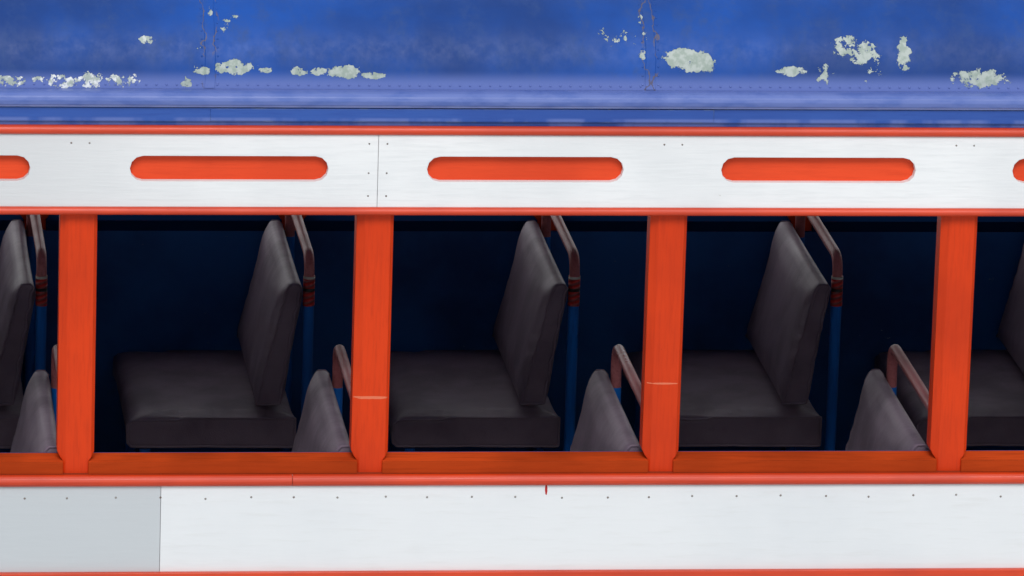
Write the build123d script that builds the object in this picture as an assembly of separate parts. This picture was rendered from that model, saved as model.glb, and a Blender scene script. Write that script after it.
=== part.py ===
from build123d import *
import math
import os

# City bus with a timber body on a light lorry chassis: open window bays, a sheet-metal roof, and a
# letterboard with stadium-shaped recesses over every window. Sizes are in millimetres. X points
# forward, Y to the left side, Z up. The origin is on the road, below the middle of the bus.

# Body plan
BAY = 720  # from one window post to the next, which is also the pitch of the seats
BAYS = 12
HALF_WIDTH = 1230  # from the middle of the bus to the outer faces of the posts
BUMPER_REACH = 85  # from the end posts to the face of a bumper

# Heights above the road
RAIL_TOP = 930
FLOOR_TOP = 1080
SKIRT_BOTTOM = 780
STRIPE_LOW = 1539
SILL_TOP = 1887
WINDOW_HEIGHT = 626
SCREEN_BOTTOM = 1965

# Window posts
POST_WIDTH = 90
POST_DEPTH = 64
POST_NECK = 62
NECK_HEIGHT = 23  # how far above the sill the shoulders of a post start
POST_BEVEL = 20
POST_BACK_BEVEL = 8

# Boards and mouldings of the side, each as thick or as tall as named
SILL_THICK = 30
SILL_NOSE = 10
LINING_THICK = 12
SHEET_THICK = 15
STRIPE_HEIGHT = 70
STRIPE_THICK = 12
LETTERBOARD_HEIGHT = 180
LETTERBOARD_THICK = 22
LETTERBOARD_BAYS = 4
RECESS_LENGTH = 480
RECESS_HEIGHT = 63
RECESS_RISE = 5  # above the middle of the board
BACKING_THICK = 6
BACKING_LAP = 20
LOWER_MOULDING_HEIGHT = 30
MIDDLE_MOULDING_HEIGHT = 20
TOP_MOULDING_HEIGHT = 23
CANT_RAIL_HEIGHT = 66
SHEET_LENGTH = 2440
SHEET_JOINT_X = 1952  # one joint of the upper sheets, the others a sheet apart
MOULDING_JOINT_X = 1631
MOULDING_FLAT = 0.5
MOULDING_STEPS = 6
RECESS_STEPS = 6
ARCH_STEPS = 18

# Roof
ROOF_CORNER = 240
ROOF_CORNER_ANGLE = 80
ROOF_THICK = 4
FASCIA_FOOT = 11
FASCIA_STRIP = 34
DRIP_HEIGHT = 40
FOOT_THICK = 22
STRIP_THICK = 30
DRIP_BACK = 26
BOW_WIDTH = 45
BOW_DEPTH = 50
SHEET_GAP = 1

# Floor
FLOOR_THICK = 30
BEARER_WIDTH = 80
AISLE_STEP_DEPTH = 306  # how far a step well reaches in from the inside of the wall
STEP_TOP = 830
STEP_THICK = 30
RISER_THICK = 15

# Chassis
RAIL_HEIGHT = 200
RAIL_WIDTH = 70
RAIL_THICK = 10
RAIL_CENTRE = 430
RAIL_END_GAP = 65
CROSSMEMBER_LENGTH = 80
CROSSMEMBER_HEIGHT = 120
CROSSMEMBER_INSET = 165  # from the end of the body to the outermost members
CROSSMEMBER_OFFSETS = (-1200, 720, 2100, 3600)  # of the others from the rear axle

# Wheels and axles
TYRE_RADIUS = 485
TYRE_WIDTH = 225
WHEEL_FACETS = 24
FACET_REACH = 1 / math.cos(math.pi / WHEEL_FACETS)  # corner over flat of a faceted round
SMALL_FACETS = 12
RAIL_FACETS = 8
TREAD_WIDTH = 180
RIM_RADIUS = 254
RIM_WIDTH = 170
FRONT_AXLE_X = 3050
REAR_AXLE_X = -1800
FRONT_TRACK = 1000
REAR_OUTER_TRACK = 1060
REAR_INNER_TRACK = 790
KINGPIN_Y = 850
ARCH_RADIUS = 560
RUN_GAP = 0.3  # between a turning piece and what carries it

# Doors
DOOR_GAP = 5
DOOR_THICK = 40
HINGE_RADIUS = 9
HINGE_HEIGHT = 44

# Seats
SEAT_BACK_X = 42  # from a post to the middle of the top of the seat back ahead of it
BENCH_INNER = 420
BENCH_WALL_GAP = 14
CUSHION_TOP = 1520
CUSHION_THICK = 90
CUSHION_DEPTH = 430
CUSHION_ROUND = 35
BACK_TOP = 1913
BACK_THICK = 55
BACK_LEAN = 60
RAIL_HEIGHT_OVER_BACK = 53
GRAB_RADIUS = 14
FRAME_TUBE = 30
SEAT_GAP = 0.3

# Engine and its box
ENGINE_BOX_HALF = 390
ENGINE_BOX_BACK = 3080
ENGINE_BOX_TOP = 1400
ENGINE_LID_INSET = 221  # from the lid's free end to the front wall
BOARD = 20
ENGINE_GAP = 20
ENGINE_FAN_GAP = 200  # from the engine to the radiator
GRIP_HALF = 60
GRIP_BAR = 16
GRIP_FOOT = 14
GRIP_RISE = 44
GRIP_INSET = 60
ENGINE_HALF_WIDTH = 300
ENGINE_BOTTOM = 600
ENGINE_TOP = 1240

# Places worked out from the values above
BODY_END = BAY * BAYS / 2 + POST_WIDTH / 2
BUMPER_FACE = BODY_END + BUMPER_REACH
POST_INNER = HALF_WIDTH - POST_DEPTH
LINING_INNER = POST_INNER - LINING_THICK
BENCH_OUTER = LINING_INNER - BENCH_WALL_GAP
FRONT_WALL = BODY_END - POST_DEPTH
FLOOR_BOTTOM = FLOOR_TOP - FLOOR_THICK
SILL_BOTTOM = SILL_TOP - SILL_THICK
WINDOW_TOP = SILL_TOP + WINDOW_HEIGHT
LETTERBOARD_LOW = WINDOW_TOP + MIDDLE_MOULDING_HEIGHT
LETTERBOARD_TOP = LETTERBOARD_LOW + LETTERBOARD_HEIGHT
POST_TOP = LETTERBOARD_TOP + TOP_MOULDING_HEIGHT
CANT_TOP = POST_TOP + CANT_RAIL_HEIGHT
STRIPE_TOP = STRIPE_LOW + STRIPE_HEIGHT
STRIPE_MIDDLE = STRIPE_LOW + STRIPE_HEIGHT / 2
RAIL_BOTTOM = RAIL_TOP - RAIL_HEIGHT
POSTS_X = [(k - BAYS / 2) * BAY for k in range(BAYS + 1)]
DOOR_BAY_FRONT = BAYS - 1
DOOR_BAY_REAR = 1
LEFT, RIGHT = 1, -1

os.makedirs("parts", exist_ok=True)


def block(x0, x1, y0, y1, z0, z1):
    """A box between two corners."""
    low = (min(x0, x1), min(y0, y1), min(z0, z1))
    size = (abs(x1 - x0), abs(y1 - y0), abs(z1 - z0))
    return Pos(*low) * Box(*size, align=(Align.MIN, Align.MIN, Align.MIN))


def side_block(side, x0, x1, y0, y1, z0, z1):
    """A box on one side of the bus, its y counted outward from the middle."""
    return block(x0, x1, side * y0, side * y1, z0, z1)


def across(profile, x0, x1):
    """A profile of points (y, z) extruded along the bus from x0 to x1."""
    return Pos(x0, 0, 0) * extrude(Plane.YZ * profile, x1 - x0)


def upright(profile, y0, y1):
    """A profile of points (x, z) extruded across the bus from y0 to y1."""
    return Pos(0, y1, 0) * extrude(Plane.XZ * profile, y1 - y0)


def polygon(*points):
    return make_face(Polyline(*points, close=True))


def mirrored(solids):
    """The same pieces on the other side of the bus."""
    return [mirror(s, Plane.XZ) for s in solids]


def save(node, solids):
    pieces = []
    for shape in solids:
        pieces += shape.solids()
    export_step(Compound(children=pieces), f"parts/{node}.step")


def tube_along_y(x, z, y0, y1, radius):
    return Pos(x, (y0 + y1) / 2, z) * Rot(90, 0, 0) * Cylinder(radius, abs(y1 - y0))


def turned(outline, facets):
    """A turned piece about the Y axis with flat facets, from the points (y, radius) of its outline."""
    steps = [2 * math.pi * k / facets for k in range(facets)]
    rings = [[Vector(r * math.cos(a), y, r * math.sin(a)) for a in steps] for y, r in outline]
    faces = []
    for (y0, r0), (y1, r1), low, high in zip(
        outline, outline[1:] + outline[:1], rings, rings[1:] + rings[:1]
    ):
        for k in range(facets):
            n = (k + 1) % facets
            corners = [low[k]] if r0 == 0 else [low[k], low[n]]
            corners += [high[k]] if r1 == 0 else [high[n], high[k]]
            if len(corners) > 2:
                faces.append(Face(Wire.make_polygon(corners)))
    return Solid(Shell(faces))


def turned_along_x(outline, facets):
    """The same about the X axis, from points (x, radius)."""
    return Rot(0, 0, -90) * turned(outline, facets)


def rod(radius, length, facets):
    """A round bar with flat facets along Y, centred on the origin."""
    half = length / 2
    return turned([(-half, 0), (-half, radius), (half, radius), (half, 0)], facets)


def runs(side):
    """The stretches of wall between the doors of a side, as (x0, x1), ended at post centres."""
    front = POSTS_X[DOOR_BAY_FRONT]
    if side == LEFT:
        return [(-BODY_END, front)]
    return [(-BODY_END, POSTS_X[DOOR_BAY_REAR]), (POSTS_X[DOOR_BAY_REAR + 1], front)]


def window_bays(side):
    """The bays of a side that have a window over a wall."""
    doors = [DOOR_BAY_FRONT] if side == LEFT else [DOOR_BAY_FRONT, DOOR_BAY_REAR]
    return [k for k in range(BAYS) if k not in doors]


# Chassis


def chassis_rails():
    inner = RAIL_CENTRE - RAIL_WIDTH / 2
    outer = RAIL_CENTRE + RAIL_WIDTH / 2
    web = outer - RAIL_THICK
    channel = polygon(
        (inner, RAIL_BOTTOM),
        (outer, RAIL_BOTTOM),
        (outer, RAIL_TOP),
        (inner, RAIL_TOP),
        (inner, RAIL_TOP - RAIL_THICK),
        (web, RAIL_TOP - RAIL_THICK),
        (web, RAIL_BOTTOM + RAIL_THICK),
        (inner, RAIL_BOTTOM + RAIL_THICK),
    )
    end = BODY_END - RAIL_END_GAP
    left = [across(channel, -end, end)]
    return left + mirrored(left)


def crossmembers():
    """Box members between the webs of the rails, clear of the engine."""
    reach = RAIL_CENTRE + RAIL_WIDTH / 2 - RAIL_THICK
    middle = RAIL_BOTTOM + RAIL_HEIGHT / 2
    low, high = middle - CROSSMEMBER_HEIGHT / 2, middle + CROSSMEMBER_HEIGHT / 2
    end = BODY_END - CROSSMEMBER_INSET
    places = [-end] + [REAR_AXLE_X + offset for offset in CROSSMEMBER_OFFSETS] + [end]
    half = CROSSMEMBER_LENGTH / 2
    return [block(x - half, x + half, -reach, reach, low, high) for x in places]


SPRING_WIDTH = 60
SPRING_END_Z = 690
SPRING_PAD = 80
SPRING_TIP = 14


def leaf_spring(axle_x, half_length, seat_z, thick):
    """A bowed pack of leaves, flat at both ends, thickest over the axle."""
    tip = half_length - SPRING_PAD
    upper = seat_z + thick
    face = make_face(
        [
            Line((-half_length, SPRING_END_Z), (-tip, SPRING_END_Z)),
            ThreePointArc((-tip, SPRING_END_Z), (0, upper), (tip, SPRING_END_Z)),
            Line((tip, SPRING_END_Z), (half_length, SPRING_END_Z)),
            Line((half_length, SPRING_END_Z), (half_length, SPRING_END_Z - SPRING_TIP)),
            Line((half_length, SPRING_END_Z - SPRING_TIP), (SPRING_PAD, seat_z)),
            Line((SPRING_PAD, seat_z), (-SPRING_PAD, seat_z)),
            Line((-SPRING_PAD, seat_z), (-half_length, SPRING_END_Z - SPRING_TIP)),
            Line((-half_length, SPRING_END_Z - SPRING_TIP), (-half_length, SPRING_END_Z)),
        ]
    )
    low, high = RAIL_CENTRE - SPRING_WIDTH / 2, RAIL_CENTRE + SPRING_WIDTH / 2
    return Pos(axle_x, 0, 0) * upright(face, low, high)


FRONT_SPRING_HALF = 560
REAR_SPRING_HALF = 650
FRONT_SEAT_Z = 530
REAR_SEAT_Z = 552
FRONT_SPRING_THICK = 60
REAR_SPRING_THICK = 80


def leaf_springs():
    left = [
        leaf_spring(FRONT_AXLE_X, FRONT_SPRING_HALF, FRONT_SEAT_Z, FRONT_SPRING_THICK),
        leaf_spring(REAR_AXLE_X, REAR_SPRING_HALF, REAR_SEAT_Z, REAR_SPRING_THICK),
    ]
    return left + mirrored(left)


def spring_hangers():
    """Blocks under the rails that hold the ends of the springs."""
    low, high = RAIL_CENTRE - SPRING_WIDTH / 2, RAIL_CENTRE + SPRING_WIDTH / 2
    left = []
    for axle, half in ((FRONT_AXLE_X, FRONT_SPRING_HALF), (REAR_AXLE_X, REAR_SPRING_HALF)):
        for end in (axle - half, axle + half - SPRING_PAD):
            left.append(block(end, end + SPRING_PAD, low, high, SPRING_END_Z, RAIL_BOTTOM))
    return left + mirrored(left)


BEAM_WIDTH = 90
BEAM_LOW = 440
BEAM_HALF_LENGTH = 760
NECK_LAP = 10
NECK_HALF_WIDTH = 28
NECK_HALF_HEIGHT = 30
KNUCKLE_BOSS = 42
BOSS_HALF_HEIGHT = 42


def front_axle_beam():
    """A forged beam between the kingpins, with a round boss at each end."""
    half = BEAM_WIDTH / 2
    low, high = TYRE_RADIUS - NECK_HALF_HEIGHT, TYRE_RADIUS + NECK_HALF_HEIGHT
    beam = block(-half, half, -BEAM_HALF_LENGTH, BEAM_HALF_LENGTH, BEAM_LOW, FRONT_SEAT_Z)
    for side in (LEFT, RIGHT):
        neck = side_block(
            side, -NECK_HALF_WIDTH, NECK_HALF_WIDTH, BEAM_HALF_LENGTH - NECK_LAP, KINGPIN_Y, low, high
        )
        boss = Pos(0, side * KINGPIN_Y, TYRE_RADIUS) * Cylinder(KNUCKLE_BOSS, 2 * BOSS_HALF_HEIGHT)
        beam = beam + neck + boss
    return [Pos(FRONT_AXLE_X, 0, 0) * beam]


FORK_PLATE = 30
FORK_REACH = 30  # of the fork's arms, inward from the kingpin
FORK_TOP = 570
FORK_BOTTOM = 405
SPINDLE_RADIUS = 32
SPINDLE_END = 1045
ARM_LENGTH = 200
ARM_THICK = 26
TIE_ROD_RADIUS = 16


def knuckle(side):
    """A fork around the beam's boss, the stub axle and the steering arm, as one forging."""
    gap = RUN_GAP
    half = KNUCKLE_BOSS
    inner = KINGPIN_Y + KNUCKLE_BOSS + gap
    top = TYRE_RADIUS + BOSS_HALF_HEIGHT + gap
    bottom = TYRE_RADIUS - BOSS_HALF_HEIGHT - gap
    plate = side_block(side, -half, half, inner, inner + FORK_PLATE, FORK_BOTTOM, FORK_TOP)
    tip = KINGPIN_Y - FORK_REACH
    upper = side_block(side, -half, half, tip, inner, top, FORK_TOP)
    lower = side_block(side, -half, half, tip, inner, FORK_BOTTOM, bottom)
    spindle = tube_along_y(0, TYRE_RADIUS, side * inner, side * SPINDLE_END, SPINDLE_RADIUS)
    arm = side_block(
        side, -ARM_LENGTH - 20, -half, tip, KINGPIN_Y, FORK_BOTTOM, FORK_BOTTOM + ARM_THICK
    )
    return [Pos(FRONT_AXLE_X, 0, 0) * (plate + upper + lower + spindle + arm)]


def tie_rod():
    """The rod that joins the ends of the steering arms, hung just below them."""
    reach = KINGPIN_Y - 15
    z = FORK_BOTTOM - RUN_GAP - TIE_ROD_RADIUS
    return [Pos(FRONT_AXLE_X - ARM_LENGTH, 0, z) * rod(TIE_ROD_RADIUS, 2 * reach, SMALL_FACETS)]


HOUSING_RADIUS = 62
DIFFERENTIAL_RADIUS = 165
DIFFERENTIAL_HALF = 75
DIFFERENTIAL_SWELL = 260
HOUSING_END = 955
SPRING_SEAT_WIDTH = 90
SPRING_SEAT_LENGTH = 140


def rear_axle_housing():
    """A banjo housing with spring pads, whose ends reach into the hubs."""
    outline = [
        (-HOUSING_END, 0),
        (-HOUSING_END, HOUSING_RADIUS),
        (-DIFFERENTIAL_SWELL, HOUSING_RADIUS),
        (-DIFFERENTIAL_HALF, DIFFERENTIAL_RADIUS),
    ]
    outline += [(-y, r) for y, r in reversed(outline)]
    housing = turned(outline, WHEEL_FACETS)
    half = SPRING_SEAT_LENGTH / 2
    low, high = RAIL_CENTRE - SPRING_SEAT_WIDTH / 2, RAIL_CENTRE + SPRING_SEAT_WIDTH / 2
    for side in (LEFT, RIGHT):
        housing += side_block(side, -half, half, low, high, 0, REAR_SEAT_Z - TYRE_RADIUS)
    return [Pos(REAR_AXLE_X, 0, TYRE_RADIUS) * housing]


RADIATOR_THICK = 60
RADIATOR_BACK = BODY_END - CROSSMEMBER_INSET - CROSSMEMBER_LENGTH / 2
ENGINE_BACK = ENGINE_BOX_BACK + BOARD + ENGINE_GAP
ENGINE_FRONT = RADIATOR_BACK - ENGINE_FAN_GAP


def engine_block():
    half = ENGINE_HALF_WIDTH
    return [block(ENGINE_BACK, ENGINE_FRONT, -half, half, ENGINE_BOTTOM, ENGINE_TOP)]


MOUNT_INSET = 80
MOUNT_LENGTH = 90
MOUNT_LOW = 10
MOUNT_HIGH = 90


def engine_mounts():
    """Brackets from the engine's sides to the webs of the rails."""
    web = RAIL_CENTRE + RAIL_WIDTH / 2 - RAIL_THICK
    low, high = RAIL_BOTTOM + MOUNT_LOW, RAIL_BOTTOM + MOUNT_HIGH
    places = (ENGINE_BACK + MOUNT_INSET, ENGINE_FRONT - MOUNT_INSET - MOUNT_LENGTH)
    left = [block(x, x + MOUNT_LENGTH, ENGINE_HALF_WIDTH, web, low, high) for x in places]
    return left + mirrored(left)


SHAFT_RADIUS = 45
GEARBOX_BACK = ENGINE_BACK - 620
GEARBOX_Z = 770
BELL_RADIUS = 190
GEARBOX_RADIUS = 120


def driveline():
    """The gearbox behind the engine and the shaft down to the rear axle."""
    length = ENGINE_BACK - GEARBOX_BACK
    outline = [
        (0, 0),
        (0, 60),
        (90, GEARBOX_RADIUS),
        (length - 200, GEARBOX_RADIUS + 10),
        (length - 120, BELL_RADIUS),
        (length, BELL_RADIUS),
        (length, 0),
    ]
    gearbox = Pos(GEARBOX_BACK, 0, GEARBOX_Z) * turned_along_x(outline, 20)
    target = REAR_AXLE_X + DIFFERENTIAL_RADIUS
    run = Vector(GEARBOX_BACK - target, 0, GEARBOX_Z - TYRE_RADIUS)
    tilt = math.degrees(math.atan2(run.Z, run.X))
    middle = Pos((GEARBOX_BACK + target) / 2, 0, (GEARBOX_Z + TYRE_RADIUS) / 2)
    shaft = middle * Rot(0, -tilt, 0) * Rot(0, 0, 90) * rod(SHAFT_RADIUS, run.length - 8, 16)
    return [gearbox, shaft]


RADIATOR_HALF = 330
RADIATOR_TOP = 1340


def radiator():
    """A plain core on the front crossmember."""
    foot = RAIL_BOTTOM + (RAIL_HEIGHT + CROSSMEMBER_HEIGHT) / 2
    back, half = RADIATOR_BACK, RADIATOR_HALF
    return [block(back, back + RADIATOR_THICK, -half, half, foot, RADIATOR_TOP)]


TANK_LENGTH = 900
TANK_X = 200
TANK_DEPTH = 400
TANK_HEIGHT = 300
TANK_TOP = 860
TANK_STANDOFF = 20
TANK_ROUND = 50


def fuel_tank():
    inner = RAIL_CENTRE + RAIL_WIDTH / 2 + TANK_STANDOFF
    section = Pos(inner + TANK_DEPTH / 2, TANK_TOP - TANK_HEIGHT / 2) * RectangleRounded(
        TANK_DEPTH, TANK_HEIGHT, TANK_ROUND
    )
    return [across(section, TANK_X, TANK_X + TANK_LENGTH)]


def tank_brackets():
    rail = RAIL_CENTRE + RAIL_WIDTH / 2
    places = (TANK_X + 150, TANK_X + TANK_LENGTH - 200)
    return [
        block(x, x + 50, rail, rail + TANK_STANDOFF, RAIL_BOTTOM + 20, TANK_TOP - TANK_ROUND)
        for x in places
    ]


EXHAUST_Y = 546
EXHAUST_Z = 640
PIPE_RADIUS = 30
MUFFLER_RADIUS = 75
MUFFLER_FRONT = 1300
MUFFLER_LENGTH = 800
EXHAUST_FRONT = 2350


def exhaust():
    """A straight pipe along the right rail that swells into a round silencer."""
    muffler_back = MUFFLER_FRONT - MUFFLER_LENGTH
    outline = [
        (-BODY_END - 20, 0),
        (-BODY_END - 20, PIPE_RADIUS),
        (muffler_back, PIPE_RADIUS),
        (muffler_back, MUFFLER_RADIUS),
        (MUFFLER_FRONT, MUFFLER_RADIUS),
        (MUFFLER_FRONT, PIPE_RADIUS),
        (EXHAUST_FRONT, PIPE_RADIUS),
        (EXHAUST_FRONT, 0),
    ]
    return [Pos(0, -EXHAUST_Y, EXHAUST_Z) * turned_along_x(outline, 16)]


def exhaust_hangers():
    """Flat straps from the floor bearers down to the pipe."""
    top = RAIL_TOP
    y = -EXHAUST_Y
    return [
        block(x - 20, x + 20, y - 3, y + 3, EXHAUST_Z + PIPE_RADIUS, top)
        for x in (POSTS_X[8], POSTS_X[6], POSTS_X[2], POSTS_X[0] + 60)
    ]


# Bumpers and towing


BUMPER_LOW = 600
BUMPER_HEIGHT = 160
BUMPER_THICK = 8
BUMPER_DEPTH = 60
BRACKET_HEIGHT = 90
BRACKET_WIDTH = 60


def bumper(end):
    """A pressed channel with its flanges turned towards the bus."""
    face, back = BUMPER_FACE, BUMPER_FACE - BUMPER_DEPTH
    top, low = BUMPER_LOW + BUMPER_HEIGHT, BUMPER_LOW
    section = polygon(
        (end * back, low),
        (end * (face - 15), low),
        (end * face, low + 25),
        (end * face, top - 25),
        (end * (face - 15), top),
        (end * back, top),
        (end * back, top - BUMPER_THICK),
        (end * (face - BUMPER_THICK - 12), top - BUMPER_THICK),
        (end * (face - BUMPER_THICK), top - 28),
        (end * (face - BUMPER_THICK), low + 28),
        (end * (face - BUMPER_THICK - 12), low + BUMPER_THICK),
        (end * back, low + BUMPER_THICK),
    )
    return [upright(section, -HALF_WIDTH, HALF_WIDTH)]


def bumper_brackets():
    """Bars under the ends of the rails that reach out to the bumpers."""
    low = RAIL_CENTRE - BRACKET_WIDTH / 2
    high = RAIL_CENTRE + BRACKET_WIDTH / 2
    tip = BUMPER_FACE - BUMPER_THICK
    left = [
        block(end * (BODY_END - 330), end * tip, low, high, RAIL_BOTTOM - BRACKET_HEIGHT, RAIL_BOTTOM)
        for end in (1, -1)
    ]
    return left + mirrored(left)


TOW_EYE_RADIUS = 22
TOW_EYE_THICK = 25
TOW_EYE_X = BUMPER_FACE - 120
TOW_EYE_DROP = 70


def tow_eyes():
    """Plates with a round hole for a shackle, below the bumper brackets."""
    bottom = RAIL_BOTTOM - BRACKET_HEIGHT
    centre = bottom - TOW_EYE_DROP
    plates = []
    for end in (1, -1):
        shape = polygon(
            (end * TOW_EYE_X - 50, bottom),
            (end * TOW_EYE_X - 50, centre - 20),
            (end * TOW_EYE_X - 22, centre - 48),
            (end * TOW_EYE_X + 22, centre - 48),
            (end * TOW_EYE_X + 50, centre - 20),
            (end * TOW_EYE_X + 50, bottom),
        )
        shape -= Pos(end * TOW_EYE_X, centre) * Circle(TOW_EYE_RADIUS)
        half = TOW_EYE_THICK / 2
        plates.append(upright(shape, RAIL_CENTRE - half, RAIL_CENTRE + half))
    return plates + mirrored(plates)


# Wheels


def tyre(y):
    """A tyre with a flat tread, sloped shoulders and bulged walls, around the rim at y."""
    half, seat = TYRE_WIDTH / 2, RIM_WIDTH / 2
    bulge = (TYRE_RADIUS + RIM_RADIUS) / 2
    outline = [
        (-seat, RIM_RADIUS),
        (-half, bulge),
        (-TREAD_WIDTH / 2, TYRE_RADIUS),
        (TREAD_WIDTH / 2, TYRE_RADIUS),
        (half, bulge),
        (seat, RIM_RADIUS),
    ]
    return Pos(0, y, TYRE_RADIUS) * turned(outline, WHEEL_FACETS)


RIM_LIP = 18
DISH_RADIUS = 150
FRONT_DISH_Y = 20
HUB_RADIUS = 95
HUB_TIP_RADIUS = 80
HUB_REACH = 95
DRUM_BACK = 75
REAR_DISH = 30


def placed(outline, side, axle_x):
    """A turned wheel part on its side of the bus, its outline drawn for the left."""
    wheel = turned(outline, WHEEL_FACETS)
    if side == RIGHT:
        wheel = mirror(wheel, Plane.XZ)
    return [Pos(axle_x, 0, TYRE_RADIUS) * wheel]


def front_rim(side):
    """A dished wheel with its hub and brake drum in one turned form, bored for the stub axle."""
    half, y = RIM_WIDTH / 2, FRONT_TRACK
    bore = (SPINDLE_RADIUS + RUN_GAP) * FACET_REACH
    bore_end = SPINDLE_END + RUN_GAP
    outline = [
        (y - DRUM_BACK, bore),
        (y - DRUM_BACK, RIM_RADIUS - RIM_LIP),
        (y - half, RIM_RADIUS - RIM_LIP),
        (y - half, RIM_RADIUS),
        (y + half, RIM_RADIUS),
        (y + half, RIM_RADIUS - RIM_LIP),
        (y + FRONT_DISH_Y, DISH_RADIUS),
        (y + FRONT_DISH_Y, HUB_RADIUS),
        (y + HUB_REACH, HUB_TIP_RADIUS),
        (y + HUB_REACH, 0),
        (bore_end, 0),
        (bore_end, bore),
    ]
    return placed(outline, side, FRONT_AXLE_X)


def rear_rims(side):
    """Both rims of a rear pair with their hub, bored for the end of the axle housing."""
    half = RIM_WIDTH / 2
    outer, inner = REAR_OUTER_TRACK, REAR_INNER_TRACK
    bore = (HOUSING_RADIUS + RUN_GAP) * FACET_REACH
    bore_end = HOUSING_END + RUN_GAP
    dish = inner + half + REAR_DISH
    outline = [
        (inner - half, bore),
        (inner - half, RIM_RADIUS),
        (inner + half, RIM_RADIUS),
        (inner + half, RIM_RADIUS - RIM_LIP),
        (outer - half, RIM_RADIUS - RIM_LIP),
        (outer - half, RIM_RADIUS),
        (outer + half, RIM_RADIUS),
        (outer + half, RIM_RADIUS - RIM_LIP),
        (dish, DISH_RADIUS),
        (dish, HUB_RADIUS),
        (outer + half, HUB_TIP_RADIUS),
        (outer + half, 0),
        (bore_end, 0),
        (bore_end, bore),
    ]
    return placed(outline, side, REAR_AXLE_X)


# Floor


def floor_bearers():
    """Timbers across the rails, shortened where a wheel turns or a step lies beside them."""
    short = RAIL_CENTRE + 90
    inner = ENGINE_BOX_HALF - BOARD
    end = FRONT_WALL - BEARER_WIDTH / 2
    bearers = []
    for x in [-end] + POSTS_X[1:-1] + [end]:
        reach = short if x == end or abs(x - FRONT_AXLE_X) < ARCH_RADIUS else POST_INNER
        low, high = x - BEARER_WIDTH / 2, x + BEARER_WIDTH / 2
        if ENGINE_BOX_BACK - BEARER_WIDTH < x < RADIATOR_BACK:
            left = [block(low, high, inner, reach, RAIL_TOP, FLOOR_BOTTOM)]
            bearers += left + mirrored(left)
        else:
            bearers.append(block(low, high, -reach, reach, RAIL_TOP, FLOOR_BOTTOM))
    return bearers


def floor_boards():
    """Floor sheets around the engine well and the step wells."""
    edge = POST_INNER
    well = edge - AISLE_STEP_DEPTH
    end = FRONT_WALL
    half_post = POST_WIDTH / 2
    rear0, rear1 = POSTS_X[DOOR_BAY_REAR] + half_post, POSTS_X[DOOR_BAY_REAR + 1] - half_post
    cab = POSTS_X[DOOR_BAY_FRONT] + half_post
    engine = ENGINE_BOX_HALF
    table = [  # x0, x1, y0, y1
        (-end, ENGINE_BOX_BACK, -well, edge),
        (-end, rear0, -edge, -well - SHEET_GAP),
        (rear1, ENGINE_BOX_BACK, -edge, -well - SHEET_GAP),
        (ENGINE_BOX_BACK + SHEET_GAP, cab, engine - BOARD, edge),
        (ENGINE_BOX_BACK + SHEET_GAP, cab, -edge, BOARD - engine),
        (cab + SHEET_GAP, end, engine - BOARD, well),
        (cab + SHEET_GAP, end, -well, BOARD - engine),
    ]
    return [block(x0, x1, y0, y1, FLOOR_BOTTOM, FLOOR_TOP) for x0, x1, y0, y1 in table]


def step_wells():
    """A tread and a riser inside each door, hung from the edge of the floor."""
    half_post = POST_WIDTH / 2
    well = POST_INNER - AISLE_STEP_DEPTH
    pieces = []
    for side, bay in ((LEFT, DOOR_BAY_FRONT), (RIGHT, DOOR_BAY_FRONT), (RIGHT, DOOR_BAY_REAR)):
        x0, x1 = POSTS_X[bay] + half_post, POSTS_X[bay + 1] - half_post
        tread = side_block(side, x0, x1, well - RISER_THICK, POST_INNER, STEP_TOP - STEP_THICK, STEP_TOP)
        riser = side_block(side, x0, x1, well - RISER_THICK, well, STEP_TOP, FLOOR_BOTTOM)
        pieces += [tread, riser]
    return pieces


# Side walls


def post(height_low, neck=True):
    """A window post about its own centre line, bevelled on its two outer edges."""
    half, outer = POST_WIDTH / 2, HALF_WIDTH
    section = polygon(
        (-half, POST_INNER),
        (half, POST_INNER),
        (half, outer - POST_BEVEL * 0.6),
        (half - POST_BEVEL, outer),
        (-half + POST_BACK_BEVEL, outer),
        (-half, outer - POST_BACK_BEVEL),
    )
    body = Pos(0, 0, height_low) * extrude(section, POST_TOP - height_low)
    if not neck:
        return body
    root, top, clear = POST_NECK / 2, SILL_TOP + NECK_HEIGHT, half + 5
    curve = ((0, 0), (0.55, 0.45), (1, 1))  # shares of the shoulder's width and height
    for sign in (1, -1):
        edge = [(sign * (root + (half - root) * u), SILL_TOP + NECK_HEIGHT * v) for u, v in curve]
        cutter = polygon((sign * root, height_low), *edge, (sign * clear, top), (sign * clear, height_low))
        body -= upright(cutter, POST_INNER - 1, outer + 1)
    return body


def side_posts():
    """Window posts stand on the floor bearers. The corner posts reach down to the skirt."""
    plain = post(FLOOR_BOTTOM)
    front = post(SKIRT_BOTTOM, neck=False)
    left = [Pos(x, 0, 0) * plain for x in POSTS_X[:-1]]
    left.append(Pos(POSTS_X[-1], 0, 0) * front)
    return left + mirrored(left)


def cant_rails():
    left = [block(-BODY_END, BODY_END, POST_INNER, HALF_WIDTH, POST_TOP, CANT_TOP)]
    return left + mirrored(left)


def sill_boards():
    """A board between the necks of the posts below each window, and along the rear windows."""
    half_neck = POST_NECK / 2
    boards = []
    for side in (LEFT, RIGHT):
        for bay in window_bays(side):
            x0, x1 = POSTS_X[bay] + half_neck, POSTS_X[bay + 1] - half_neck
            boards.append(
                side_block(side, x0, x1, LINING_INNER, HALF_WIDTH + SILL_NOSE, SILL_BOTTOM, SILL_TOP)
            )
    return boards


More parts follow.
